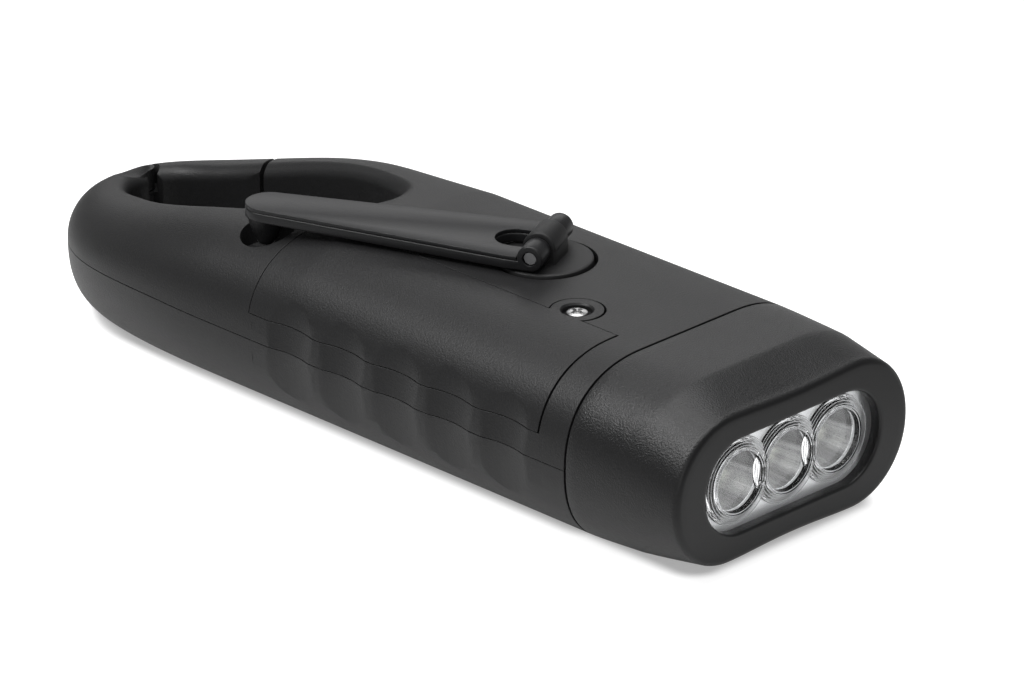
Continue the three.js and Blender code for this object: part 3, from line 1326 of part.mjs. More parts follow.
function gearPlateUpper() {
  const boss = cylinder(
    AXLE_BOSS_RADIUS,
    IDLER_2_PINION_TOP + GEAR_SIDE_GAP,
    UPPER_PLATE_TOP,
    ...IDLER_2_AXIS,
    PIN_FACETS,
  );
  return cut(
    join(prism(plateOutline(), UPPER_PLATE_BOTTOM, UPPER_PLATE_TOP), boss),
    cylinder(SPINDLE_RADIUS + FIT_GAP, 0, ABOVE, ...CRANK_AXIS),
    ...plateHoles(),
  );
}

function gearPlateLower() {
  const raised = (radius, top, [x, y]) => cylinder(radius, LOWER_PLATE_BOTTOM, top, x, y, PIN_FACETS);
  return cut(
    join(
      prism(plateOutline(), LOWER_PLATE_BOTTOM, LOWER_PLATE_TOP),
      ...PILLARS.map((centre) => raised(PILLAR_RADIUS, UPPER_PLATE_BOTTOM - FIT_GAP, centre)),
      raised(AXLE_BOSS_RADIUS, IDLER_1_BOTTOM - GEAR_SIDE_GAP, IDLER_1_AXIS),
      raised(AXLE_BOSS_RADIUS, IDLER_2_BOTTOM - GEAR_SIDE_GAP, IDLER_2_AXIS),
    ),
    bore(ROTOR_AXIS),
    ...plateHoles(),
  );
}

const gearboxScrew = ([x, y]) =>
  screw({
    x,
    y,
    seat: UPPER_PLATE_TOP + FIT_GAP / 2,
    end: PLATE_SCREW_END_Z,
    radius: PLATE_SCREW_RADIUS,
    headRadius: PLATE_SCREW_HEAD_RADIUS,
    headHeight: PLATE_SCREW_HEAD_HEIGHT,
  });

// Dynamo

const rotorShaft = () =>
  join(
    cylinder(AXLE_RADIUS, SHAFT_BOTTOM, SHAFT_TOP, ...ROTOR_AXIS, PIN_FACETS),
    spur(
      ROTOR_TEETH,
      gapTowards(ROTOR_TEETH, ROTOR_DEG),
      IDLER_2_BOTTOM,
      IDLER_2_WHEEL_TOP,
      ROTOR_AXIS,
    ),
  );

const rotorMagnet = () =>
  tube(ROTOR_RADIUS, AXLE_RADIUS + FIT_GAP / 2, ROTOR_BOTTOM, ROTOR_TOP, ...ROTOR_AXIS, ROUND_FACETS);

const statorCoil = () =>
  tube(COIL_OUTER_RADIUS, COIL_INNER_RADIUS, COIL_BOTTOM, COIL_TOP, ...ROTOR_AXIS, WIDE_FACETS);

function statorYoke() {
  const floor = YOKE_BOTTOM + YOKE_FLOOR;
  return cut(
    join(
      cut(
        cylinder(YOKE_RADIUS, YOKE_BOTTOM, YOKE_TOP, ...ROTOR_AXIS, WIDE_FACETS),
        cylinder(YOKE_RADIUS - YOKE_WALL, floor, ABOVE, ...ROTOR_AXIS, WIDE_FACETS),
      ),
      cylinder(YOKE_BOSS_RADIUS, YOKE_BOTTOM, YOKE_BOSS_TOP, ...ROTOR_AXIS, PIN_FACETS),
    ),
    cylinder(AXLE_RADIUS + FIT_GAP, SHAFT_BOTTOM - FIT_GAP, ABOVE, ...ROTOR_AXIS, PIN_FACETS),
  );
}

// Battery

const CELL_END_X = CELL_START_X + CELL_LENGTH;

function batteryCell(z) {
  const profile = [
    [0, CELL_START_X],
    [CELL_RADIUS, CELL_START_X],
    [CELL_RADIUS, CELL_END_X],
    [CELL_NUB_RADIUS, CELL_END_X],
    [CELL_NUB_RADIUS, CELL_END_X + CELL_NUB_LENGTH],
    [0, CELL_END_X + CELL_NUB_LENGTH],
  ];
  return alongX(turned(profile, CELL_Y, z));
}

const contactPlate = (startX, bottom, top) =>
  box(
    startX,
    startX + CONTACT_THICKNESS,
    CELL_Y - CONTACT_HALF_SIZE,
    CELL_Y + CONTACT_HALF_SIZE,
    bottom - CONTACT_HALF_SIZE,
    top + CONTACT_HALF_SIZE,
  );

function contactRear() {
  const startX = BAY_REAR_X + FIT_GAP;
  const springs = [CELL_LOWER_Z, CELL_UPPER_Z].map((z) =>
    alongX(
      frustum(
        CONTACT_SPRING_RADIUS,
        CONTACT_SPRING_TIP_RADIUS,
        startX,
        CELL_START_X - FIT_GAP,
        CELL_Y,
        z,
      ),
    ),
  );
  return join(contactPlate(startX, CELL_LOWER_Z, CELL_UPPER_Z), ...springs);
}

const contactFront = (z) => contactPlate(BAY_FRONT_X - FIT_GAP - CONTACT_THICKNESS, z, z);

// Electronics and push button

const circuitBoard = () =>
  cut(
    box(
      BOARD_START_X,
      BOARD_END_X,
      BOARD_START_Y,
      BOARD_END_Y,
      BOARD_BOTTOM,
      BOARD_BOTTOM + BOARD_THICKNESS,
    ),
    ...boardFeet().map((centre) => bore(centre, BOARD_PEG_RADIUS + FIT_GAP)),
  );

function powerSwitch() {
  const top = BOARD_BOTTOM - FIT_GAP;
  const half = SWITCH_HALF_WIDTH;
  return join(
    box(BUTTON_X - half, BUTTON_X + half, BUTTON_Y - half, BUTTON_Y + half, SWITCH_BOTTOM, top),
    cylinder(SWITCH_NUB_RADIUS, SWITCH_BOTTOM - SWITCH_NUB_LENGTH, top, BUTTON_X, BUTTON_Y, PIN_FACETS),
  );
}

function capacitor() {
  const bottom = BOARD_BOTTOM + BOARD_THICKNESS + FIT_GAP;
  const x = BOARD_START_X + CAPACITOR_INSET;
  const y = BOARD_END_Y - CAPACITOR_INSET;
  return cylinder(CAPACITOR_RADIUS, bottom, bottom + CAPACITOR_HEIGHT, x, y);
}

function pushButton() {
  const flange = WALL + FIT_GAP;
  const profile = [
    [0, BUTTON_BOTTOM + BUTTON_DISH_DEPTH],
    [BUTTON_RADIUS / 2, BUTTON_BOTTOM + BUTTON_DISH_DEPTH / 2],
    [BUTTON_RADIUS - BUTTON_EDGE, BUTTON_BOTTOM],
    [BUTTON_RADIUS, BUTTON_BOTTOM + BUTTON_EDGE],
    [BUTTON_RADIUS, flange],
    [BUTTON_FLANGE_RADIUS, flange],
    [BUTTON_FLANGE_RADIUS, flange + BUTTON_FLANGE_THICKNESS],
    [0, flange + BUTTON_FLANGE_THICKNESS],
  ];
  return turned(profile, BUTTON_X, BUTTON_Y);
}

// All pieces

piece("upper_casing", "casing", upperCasing());
piece("lower_casing", "casing", lowerCasing());
piece("battery_cover", "casing", batteryCover());
piece("battery_cover_screw", "steel", batteryCoverScrew());
CASING_SCREWS.forEach((place, i) => piece(`casing_screw_${i + 1}`, "steel", casingScrew(place)));

piece("head_bezel", "bezel", headBezel());
piece("lens", "lens", lens());
piece("reflector", "chrome", reflector());
ledPlaces().forEach((y, i) => piece(`led_${i + 1}`, "led", led(y)));
piece("led_board", "board", ledBoard());

piece("crank_hub", "arm", crankHub(), crankGroup);
piece("crank_hinge_pin", "steel", crankHingePin(), crankGroup);
piece("crank_arm", "arm", crankArm(), crankGroup);
piece("crank_arm_cover", "arm", crankArmCover(), crankGroup);
piece("crank_knob", "arm", crankKnob(), crankGroup);
piece("knob_washer", "steel", knobWasher(), crankGroup);

piece("crank_gear", "gear", crankGear());
piece("crank_gear_screw", "steel", crankGearScrew());
piece("idler_gear_1", "gear", idlerGear1());
piece("idler_axle_1", "steel", axle(IDLER_1_AXIS));
piece("idler_gear_2", "gear", idlerGear2());
piece("idler_axle_2", "steel", axle(IDLER_2_AXIS));
piece("gear_plate_upper", "steel", gearPlateUpper());
piece("gear_plate_lower", "steel", gearPlateLower());
PILLARS.forEach((place, i) => piece(`gearbox_screw_${i + 1}`, "steel", gearboxScrew(place)));

piece("rotor_shaft", "steel", rotorShaft());
piece("rotor_magnet", "magnet", rotorMagnet());
piece("stator_coil", "copper", statorCoil());
piece("stator_yoke", "steel", statorYoke());

piece("battery_cell_1", "cell", batteryCell(CELL_LOWER_Z));
piece("battery_cell_2", "cell", batteryCell(CELL_UPPER_Z));
piece("contact_rear", "steel", contactRear());
piece("contact_front_1", "steel", contactFront(CELL_LOWER_Z));
piece("contact_front_2", "steel", contactFront(CELL_UPPER_Z));

piece("circuit_board", "board", circuitBoard());
piece("power_switch", "casing", powerSwitch());
piece("capacitor", "capacitor", capacitor());
piece("push_button", "casing", pushButton());

piece("carabiner_gate", "casing", carabinerGate());
piece("gate_pin", "steel", gatePin());
piece("gate_spring", "steel", gateSpring());

export default root;
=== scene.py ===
"""Looks for a pocket torch with a folding dynamo crank and a carabiner loop.

Shapes are worked out in millimetres, with x from the tail tip, and written into meshes in metres.
"""

import json
import math

import bmesh
import bpy
import numpy as np
from mathutils import Matrix, Vector


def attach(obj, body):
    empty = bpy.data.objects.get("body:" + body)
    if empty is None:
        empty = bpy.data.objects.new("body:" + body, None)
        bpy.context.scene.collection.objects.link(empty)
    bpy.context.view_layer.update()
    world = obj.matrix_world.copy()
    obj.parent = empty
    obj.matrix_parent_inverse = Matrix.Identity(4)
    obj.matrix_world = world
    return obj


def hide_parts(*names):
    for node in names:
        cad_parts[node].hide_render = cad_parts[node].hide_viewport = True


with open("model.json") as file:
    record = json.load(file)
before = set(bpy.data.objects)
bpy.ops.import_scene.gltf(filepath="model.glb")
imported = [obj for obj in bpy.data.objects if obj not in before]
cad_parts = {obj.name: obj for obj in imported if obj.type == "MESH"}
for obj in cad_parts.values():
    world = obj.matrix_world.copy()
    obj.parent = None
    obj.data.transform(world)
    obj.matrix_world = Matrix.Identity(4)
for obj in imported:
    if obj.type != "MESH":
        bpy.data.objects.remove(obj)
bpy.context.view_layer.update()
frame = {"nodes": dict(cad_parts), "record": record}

MM = 0.001
LENGTH = 146.0
SEAM_X = 124.7
HALF_WIDTH = 25.5
THICKNESS = 28.6
PARTING_Z = THICKNESS / 2
SIDE_ROUND = 16.0
SIDE_POWER = 2.35
TAIL_ROUND = 4.9  # the side rounding at the tail tip
TAIL_ROUND_POWER = 1.65
TAIL_LENGTH = 49.0
TAIL_POWER = 2.3
TAIL_TOP = 17.45
RAMP_END_X = 66.0
RAMP_BEND_X = 48.0  # behind this the ramp curves down to the tail, in front of it it is straight
RAMP_SLOPE = 0.08
RAMP_SHARES = (0.0, -0.07, 0.87, 1.0)  # of the curve's rise, at its two ends and two handles
DIP_LENGTH = 40.8  # behind this the parting line, where the body is widest, dips towards the tail
DIP_DEPTH = 6.25
DIP_EASE = 0.5
WALL = 2.0
SEAM_GAP = 0.1
PARTING_GAP = 0.065  # each side of the parting line
COVER_GAP = 0.14
OVERRUN = 5.0  # of a cutting shape past the body
ABOVE = THICKNESS + OVERRUN
UNDER = -OVERRUN
MERGE = 1e-7  # metres

# Camera
IMAGE_WIDTH = 1024
FOCAL_PX = 7544.125
SENSOR = 36.0
AZIMUTH = math.radians(44.854)
ELEVATION = math.radians(24.040)
ROLL = math.radians(-0.060)
DISTANCE = 1125.508
CLIP = (0.05, 20)  # metres
TARGET = (85.096, 3.693, 13.0)


def at(x, y, z):
    """A point in metres from millimetres with x from the tail tip."""
    return Vector(((x - LENGTH / 2) * MM, y * MM, z * MM))


def make_camera():
    data = bpy.data.cameras.new("camera")
    data.sensor_width = SENSOR
    data.lens = FOCAL_PX * SENSOR / IMAGE_WIDTH
    data.clip_start, data.clip_end = CLIP
    cam = bpy.data.objects.new("camera", data)
    bpy.context.scene.collection.objects.link(cam)
    sa, ca = math.sin(AZIMUTH), math.cos(AZIMUTH)
    se, ce = math.sin(ELEVATION), math.cos(ELEVATION)
    back = Vector((sa * ce, -ca * ce, se))
    right = Vector((ca, sa, 0))
    up = back.cross(right)
    turn = Matrix((right, up, back)).transposed() @ Matrix.Rotation(-ROLL, 3, "Z")
    cam.matrix_world = Matrix.Translation(at(*TARGET) + back * DISTANCE * MM) @ turn.to_4x4()
    bpy.context.scene.camera = cam


make_camera()


# Meshes
def new_object(name, points, faces):
    mesh = bpy.data.meshes.new(name)
    pts = np.asarray(points, dtype=float).copy()
    pts[:, 0] -= LENGTH / 2
    mesh.from_pydata((pts * MM).tolist(), [], faces)
    mesh.validate()
    obj = bpy.data.objects.new(name, mesh)
    bpy.context.scene.collection.objects.link(obj)
    return obj


def outward(obj):
    """Faces turned so that they point out, with doubled points merged."""
    bm = bmesh.new()
    bm.from_mesh(obj.data)
    bmesh.ops.remove_doubles(bm, verts=bm.verts, dist=MERGE)
    bmesh.ops.recalc_face_normals(bm, faces=bm.faces)
    bm.to_mesh(obj.data)
    bm.free()
    return obj


def loft(name, rings, first_flat=False, closed=False):
    """Rings of equal length joined in order; the ends are filled unless the rings close on each other."""
    rings = [np.asarray(r, dtype=float) for r in rings]
    count = len(rings[0])
    points = np.concatenate(rings)
    faces = []
    last = len(rings) if closed else len(rings) - 1
    for r in range(last):
        a, b = r * count, ((r + 1) % len(rings)) * count
        for i in range(count):
            j = (i + 1) % count
            faces.append((a + i, a + j, b + j, b + i))
    if not closed:
        if not first_flat:
            faces.append(tuple(range(count))[::-1])
        base = (len(rings) - 1) * count
        faces.append(tuple(base + i for i in range(count)))
    return outward(new_object(name, points, faces))


def prism(name, outline, bottom, top):
    outline = np.asarray(outline, dtype=float)
    low = np.column_stack([outline, np.full(len(outline), bottom)])
    high = np.column_stack([outline, np.full(len(outline), top)])
    return loft(name, [low, high])


def circle(x, y, radius, facets=96):
    t = np.arange(facets) * 2 * math.pi / facets
    return np.column_stack([x + radius * np.cos(t), y + radius * np.sin(t)])


def box(name, lo, hi):
    outline = [(lo[0], lo[1]), (hi[0], lo[1]), (hi[0], hi[1]), (lo[0], hi[1])]
    return prism(name, outline, lo[2], hi[2])


def rings_of(profile, x, y, facets=96):
    """A [radius, height] profile turned about a vertical axis."""
    t = np.arange(facets) * 2 * math.pi / facets
    return [
        np.column_stack([x + r * np.cos(t), y + r * np.sin(t), np.full(facets, h)]) for r, h in profile
    ]


def turned(name, profile, x=0.0, y=0.0, facets=96):
    return loft(name, rings_of(profile, x, y, facets))


def level_at(value):
    """The same value for every point of a ring."""
    return lambda places: np.full_like(places, value)


def length_run(points):
    """The length from the first point of a line to each of its points."""
    return np.concatenate([[0], np.cumsum(np.linalg.norm(np.diff(points, axis=0), axis=1))])


def swap_axes(points):
    """Turns Z into X, X into Y and Y into Z, for shapes made along X."""
    points = np.asarray(points)
    return points[:, [2, 0, 1]]


def turned_x(name, profile, y, z, facets=96, closed=False):
    return loft(name, [swap_axes(r) for r in rings_of(profile, y, z, facets)], closed=closed)


def bake(obj):
    graph = bpy.context.evaluated_depsgraph_get()
    mesh = bpy.data.meshes.new_from_object(obj.evaluated_get(graph))
    obj.modifiers.clear()
    old = obj.data
    obj.data = mesh
    bpy.data.meshes.remove(old)
    return obj


def drop(*objs):
    for obj in objs:
        mesh = obj.data
        bpy.data.objects.remove(obj)
        bpy.data.meshes.remove(mesh)


def boolean(target, tool, operation="DIFFERENCE", keep=False):
    step = target.modifiers.new("step", "BOOLEAN")
    step.object = tool
    step.operation = operation
    step.solver = "MANIFOLD"
    bake(target)
    if not keep:
        drop(tool)
    return target


def cut(target, *tools, keep=False):
    for tool in tools:
        boolean(target, tool, "DIFFERENCE", keep)
    return target


def join(target, *others):
    for other in others:
        boolean(target, other, "UNION")
    return target


def copy(obj, name):
    twin = bpy.data.objects.new(name, obj.data.copy())
    bpy.context.scene.collection.objects.link(twin)
    return twin


def bevel(obj, width, segments=3, angle=35):
    step = obj.modifiers.new("edge", "BEVEL")
    step.width = width * MM
    step.segments = segments
    step.limit_method = "ANGLE"
    step.angle_limit = math.radians(angle)
    step.use_clamp_overlap = True
    return bake(obj)


def smooth(obj, angle=32):
    """Smooth shading, with edges sharper than the angle kept."""
    mesh = obj.data
    mesh.shade_smooth()
    mesh.set_sharp_from_angle(angle=math.radians(angle))
    return obj


# Body form
def top_height(x):
    """The top line: a curve up from the tail, a straight slope, then level with a crease between."""
    x = np.asarray(x, dtype=float)
    t = np.clip(x / RAMP_BEND_X, 0, 1)
    s = (1 - t) ** 3 * RAMP_SHARES[0] + 3 * t * (1 - t) ** 2 * RAMP_SHARES[1]
    s = s + 3 * t**2 * (1 - t) * RAMP_SHARES[2] + t**3 * RAMP_SHARES[3]
    bend_z = THICKNESS - RAMP_SLOPE * (RAMP_END_X - RAMP_BEND_X)
    curve = TAIL_TOP + (bend_z - TAIL_TOP) * s
    slope = THICKNESS - RAMP_SLOPE * np.clip(RAMP_END_X - x, 0, RAMP_END_X - RAMP_BEND_X)
    return np.where(x < RAMP_BEND_X, curve, slope)


def dip(x):
    return np.clip(1 - np.asarray(x, dtype=float) / DIP_LENGTH, 0, 1) ** 2


def parting_z(x):
    return PARTING_Z - DIP_DEPTH * dip(x) * (1 - DIP_EASE * dip(x))


TAIL_STEPS = 60
RAMP_STEPS = 22
FLAT_STEPS = 24
SIDE_STEPS = 20


def stations(end_x):
    out = []
    for i in range(TAIL_STEPS + 1):
        a = math.pi / 2 * i / TAIL_STEPS
        along, across = math.cos(a) ** (2 / TAIL_POWER), math.sin(a) ** (2 / TAIL_POWER)
        slope = (along ** (TAIL_POWER - 1) / TAIL_LENGTH, across ** (TAIL_POWER - 1) / HALF_WIDTH)
        n = Vector((-slope[0], slope[1])).normalized()
        round_ = SIDE_ROUND + (TAIL_ROUND - SIDE_ROUND) * math.cos(a) ** TAIL_ROUND_POWER
        out.append((TAIL_LENGTH * (1 - along), HALF_WIDTH * across, n.x, n.y, round_))
    for i in range(1, RAMP_STEPS + 1):
        x = TAIL_LENGTH + (RAMP_END_X - TAIL_LENGTH) * i / RAMP_STEPS
        out.append((x, HALF_WIDTH, 0.0, 1.0, SIDE_ROUND))
    for i in range(1, FLAT_STEPS + 1):
        out.append((RAMP_END_X + (end_x - RAMP_END_X) * i / FLAT_STEPS, HALF_WIDTH, 0.0, 1.0, SIDE_ROUND))
    return out


def side_curve(round_, steps=SIDE_STEPS):
    t = np.linspace(0, math.pi / 2, steps + 1)
    level = np.cos(t) ** (2 / SIDE_POWER)
    level[-1] = 0
    return np.column_stack([round_ * (1 - level), np.sin(t) ** (2 / SIDE_POWER)])


def body_form(name, inset=0.0, end_x=SEAM_X - SEAM_GAP):
    rings = []
    for x, y, ox, oy, round_ in stations(end_x):
        curve = side_curve(round_ - inset)
        px = x - ox * (inset + curve[:, 0])
        py = y - oy * (inset + curve[:, 0])
        middle = parting_z(px)
        up = middle + (top_height(px) - inset - middle) * curve[:, 1]
        down = middle + (inset - middle) * curve[:, 1]
        near_up, far_up, far_down, near_down = (
            np.column_stack([px, side * py, z]) for side, z in ((-1, up), (1, up), (1, down), (-1, down))
        )
        rings.append(np.concatenate([near_up, far_up[::-1], far_down[1:], near_down[::-1][:-1]]))
    return loft(name, rings, first_flat=True)


# Loop hole
LOOP_START_X = 6.6
LOOP_LENGTH = 50.6
LOOP_HALF_WIDTH = 10.8
LOOP_EDGE_ROUND = 2.4
LOOP_EDGE_STEPS = 8
LOOP_POINTS = 150
CURVE_STEPS = 24
# the outline from the tail end on, as shares of the hole's length and half width
LOOP_SHARES = (
    (0, 0), (0.05, -0.38), (0.19, -0.63), (0.38, -0.9), (0.56, -0.98), (0.72, -0.88),
    (0.88, -0.5), (0.965, 0), (1, 0.45), (0.975, 0.85), (0.87, 1.02), (0.64, 1.05),
    (0.42, 0.94), (0.2, 0.74), (0.05, 0.5),
)


def closed_curve(points, count):
    """A smooth closed curve through points, at even steps of its length, and its direction at each."""
    pts = np.asarray(points, dtype=float)
    n = len(pts)
    dense = []
    for i in range(n):
        p0, p1, p2, p3 = pts[i - 1], pts[i], pts[(i + 1) % n], pts[(i + 2) % n]
        d1, d2, d3 = (np.linalg.norm(q - p) ** 0.5 for p, q in ((p0, p1), (p1, p2), (p2, p3)))
        m1 = (p1 - p0) / d1 - (p2 - p0) / (d1 + d2) + (p2 - p1) / d2
        m2 = (p2 - p1) / d2 - (p3 - p1) / (d2 + d3) + (p3 - p2) / d3
        m1, m2 = m1 * d2, m2 * d2
        for k in range(CURVE_STEPS):
            t = k / CURVE_STEPS
            dense.append(
                (2 * t**3 - 3 * t**2 + 1) * p1
                + (t**3 - 2 * t**2 + t) * m1
                + (-2 * t**3 + 3 * t**2) * p2
                + (t**3 - t**2) * m2
            )
    dense = np.array(dense + [dense[0]])
    run = length_run(dense)
    s = np.arange(count) * run[-1] / count
    out = np.column_stack([np.interp(s, run, dense[:, k]) for k in (0, 1)])
    ahead = np.roll(out, -1, axis=0) - np.roll(out, 1, axis=0)
    ahead /= np.linalg.norm(ahead, axis=1)[:, None]
    return out, ahead


def loop_outline(grow):
    pts = [(LOOP_START_X + a * LOOP_LENGTH, c * LOOP_HALF_WIDTH) for a, c in LOOP_SHARES]
    out, ahead = closed_curve(pts, LOOP_POINTS)
    return out + np.column_stack([ahead[:, 1], -ahead[:, 0]]) * grow


def loop_cutter():
    """The hole with its edges rounded off at the underside and along the top line."""
    def ring(grow, height):
        p = loop_outline(grow)
        return np.column_stack([p, height(p[:, 0])])

    flare = []
    for i in range(LOOP_EDGE_STEPS + 1):
        a = math.pi / 2 * i / LOOP_EDGE_STEPS
        flare.append((LOOP_EDGE_ROUND * (1 - math.cos(a)), LOOP_EDGE_ROUND * (1 - math.sin(a))))
    rings = [ring(LOOP_EDGE_ROUND, level_at(UNDER))]
    rings += [ring(g, level_at(d)) for g, d in reversed(flare)]
    rings += [ring(g, lambda x, d=d: top_height(x) - d) for g, d in flare]
    rings.append(ring(LOOP_EDGE_ROUND, lambda x: top_height(x) + OVERRUN))
    return loft("loop", rings)


# Gate and ring
PIN = (3.9, 2.6)
PIN_FACETS = 48
GATE_REACH = 21.3
GATE_END_GAP = 0.9
GATE_START, GATE_END = 20, 140  # degrees round the pin
RING_START, RING_END = GATE_START - 29, GATE_END + 4
SECTOR_POINTS = 90
KNUCKLE_RADIUS = 2.6
KNUCKLE_BOTTOM = 9.0
KNUCKLE_TOP = 13.9
KNUCKLE_GAP = 0.3
EAR_ROOM_RADIUS = 3.4
GATE_BORE_RADIUS = 0.9
SPRING_ROOM_RADIUS = 2.1
SPRING_ROOM_TOP = KNUCKLE_BOTTOM + 3.3
RING_BORE_RADIUS = 0.85
RING_BORE_TOP = 16.1
SCOOP = (3.4, 1.4)
SCOOP_PROFILE = ((0.2, 16.2), (1.6, 16.35), (2.6, 16.9), (3.2, 17.6), (3.6, 19.0))


def gate_sector(reach, start, end):
    turn = np.radians(np.linspace(start, end, SECTOR_POINTS))
    arc = [(PIN[0] + reach * math.cos(a), PIN[1] + reach * math.sin(a)) for a in turn]
    return prism("sector", [PIN] + arc, UNDER, ABOVE)


def at_pin(radius, bottom=UNDER, top=ABOVE):
    return prism("at_pin", circle(*PIN, radius, PIN_FACETS), bottom, top)


def make_gate(form, loop):
    """The ring's swinging part, with a knuckle for the pin and room for the spring."""
    gate = copy(form, "carabiner_gate_skin")
    boolean(gate, gate_sector(GATE_REACH, GATE_START, GATE_END), "INTERSECT")
    cut(gate, loop, keep=True)
    cut(gate, at_pin(EAR_ROOM_RADIUS, bottom=KNUCKLE_TOP), at_pin(EAR_ROOM_RADIUS, top=KNUCKLE_BOTTOM))
    join(gate, at_pin(KNUCKLE_RADIUS, KNUCKLE_BOTTOM, KNUCKLE_TOP))
    return cut(gate, at_pin(GATE_BORE_RADIUS), at_pin(SPRING_ROOM_RADIUS, top=SPRING_ROOM_TOP))


def make_ring(form, loop):
    """Both shells in one, with the loop, the gate's place and two ears round the gate's knuckle."""
    ears = boolean(copy(form, "ears"), at_pin(KNUCKLE_RADIUS), "INTERSECT")
    ring = copy(form, "ring")
    cut(ring, loop, gate_sector(GATE_REACH + GATE_END_GAP, RING_START, RING_END))
    join(ring, ears)
    cut(ring, at_pin(KNUCKLE_RADIUS + KNUCKLE_GAP, KNUCKLE_BOTTOM - KNUCKLE_GAP, KNUCKLE_TOP + KNUCKLE_GAP))
    cut(ring, at_pin(RING_BORE_RADIUS, top=RING_BORE_TOP))
    return cut(ring, turned("scoop", SCOOP_PROFILE, *SCOOP, facets=PIN_FACETS))


# Scallops
SCALLOP_COUNT = 5
SCALLOP_START_X = 67.4
SCALLOP_PITCH = 11.2
SCALLOP_RADIUS = 14.0
SCALLOP_DEPTH = 0.85
SCALLOP_LEAN = 0.13  # inwards for each millimetre above or below the parting line
SCALLOP_RUN = 8.0  # of the cut past the first and the last scallop's middle
SCALLOP_SOFTNESS = 0.12  # rounds the crests between scallops
SCALLOP_LIFT = 0.25  # keeps the cut off the plain side
SCALLOP_OVERRUN = 6.0
SCALLOP_POINTS = 220


def scallop_tool(side):
    end_x = SCALLOP_START_X + (SCALLOP_COUNT - 1) * SCALLOP_PITCH
    xs = np.linspace(SCALLOP_START_X - SCALLOP_RUN, end_x + SCALLOP_RUN, SCALLOP_POINTS)
    depth = np.zeros_like(xs)
    for i in range(SCALLOP_COUNT):
        dx = xs - (SCALLOP_START_X + i * SCALLOP_PITCH)
        inside = np.clip(SCALLOP_RADIUS**2 - dx**2, 0, None)
        depth = np.maximum(depth, SCALLOP_DEPTH - SCALLOP_RADIUS + np.sqrt(inside))
    depth = SCALLOP_SOFTNESS * np.log(np.exp(depth / SCALLOP_SOFTNESS) + 1) - SCALLOP_LIFT
    outside = HALF_WIDTH + SCALLOP_OVERRUN
    pts = [(x, side * y) for x, y in zip(xs, HALF_WIDTH - depth)]
    pts += [(xs[-1], side * outside), (xs[0], side * outside)]
    rings = []
    for z in (UNDER, PARTING_Z, ABOVE):
        lean = side * SCALLOP_LEAN * abs(z - PARTING_Z)
        rings.append([(x, y - lean * (abs(y) < outside), z) for x, y in pts])
    return loft("scallops", rings)


# Shells and battery cover
FAR_X = 160.0
FAR_Y = 40.0
PARTING_STEPS = 60
HOLLOW_START_X = 60.0
WELL_WALL = 1.4  # left in the hollow under each recess of the top
COVER_START_X = 58.4
COVER_END_X = 119.0
COVER_TOP_Y = -8.7
COVER_BOTTOM_Z = 18.3
COVER_END_GAP = 0.25
TAB = (108.4, -6.3)
TAB_RADIUS = 4.1
TAB_FACETS = 64
TAB_GAP = 0.15
TAB_GAP_CENTRE = (TAB[0] + 0.12, TAB[1] - 0.05)  # off the tab's own, so that the joint is wider in front
TAB_WELL_RADIUS = 5.6
TAB_WELL_FLOOR = 25.4
TAB_RECESS = ((2.3, 27.6), (2.3, 28.3), (2.55, 28.6), (3.4, 29.4))
TAB_HOLE_RADIUS = 1.05
HUB = (92.0, 3.7)
HUB_RADIUS = 7.25
HUB_GAP = 0.6
HUB_WELL_RADIUS = 9.05
HUB_FACETS = 128
SPINDLE_RADIUS = 3.1
RECESS_FLOOR = 26.6
POCKET = (52.3, -15.5)
POCKET_FACETS = 64
POCKET_WALL = ((3.3 + WELL_WALL, 23.6 - WELL_WALL), (4.7 + WELL_WALL, THICKNESS + WELL_WALL))
POCKET_PROFILE = (
    (2.6, 23.6), (3.1, 23.75), (3.35, 24.1), (4.55, 27.6), (4.9, 28.2), (5.6, THICKNESS + 0.4),
)
BUTTON = (71.25, 4.2)
BUTTON_HOLE = ((5.5, -1), (5.2, 0.0), (4.9, 0.3), (4.9, 3.0))
CASING_SCREWS = ((36, -18), (62, 19.5), (118.5, 19), (119.8, -14))
SCREW_WELL_RADIUS = 1.85
SCREW_WELL_TOP = 5.7
SMALL_FACETS = 48


def cover_region(name, grow):
    low = (COVER_START_X - grow, -HALF_WIDTH - OVERRUN, COVER_BOTTOM_Z - grow)
    body = box(name, low, (COVER_END_X + grow, COVER_TOP_Y + grow, ABOVE))
    return join(body, prism("tab", circle(*TAB, TAB_RADIUS + grow, TAB_FACETS), PARTING_Z, ABOVE))


def cover_opening():
    """The opening in the upper shell: the cover's region with wider joints in front, down to a lining."""
    opening = cover_region("opening", 0.0)
    low = (COVER_END_X - OVERRUN, -HALF_WIDTH - OVERRUN, COVER_BOTTOM_Z)
    join(opening, box("end_gap", low, (COVER_END_X + COVER_END_GAP, COVER_TOP_Y, ABOVE)))
    tab = circle(*TAB_GAP_CENTRE, TAB_RADIUS + TAB_GAP, TAB_FACETS)
    join(opening, prism("tab_gap", tab, PARTING_Z, ABOVE))
    return cut(opening, body_form("lining", WALL + SEAM_GAP, SEAM_X))


def half_space(gap):
    """All that is above the parting surface by a gap, or below it for a negative gap."""
    xs = np.concatenate([np.linspace(-OVERRUN, DIP_LENGTH, PARTING_STEPS), [FAR_X]])
    line = np.column_stack([xs, parting_z(xs) + gap])
    far = ABOVE if gap > 0 else UNDER
    outline = np.concatenate([line, [(FAR_X, far), (-OVERRUN, far)]])
    sides = [np.insert(outline, 1, y, axis=1) for y in (-FAR_Y, FAR_Y)]
    return loft("half_space", sides)


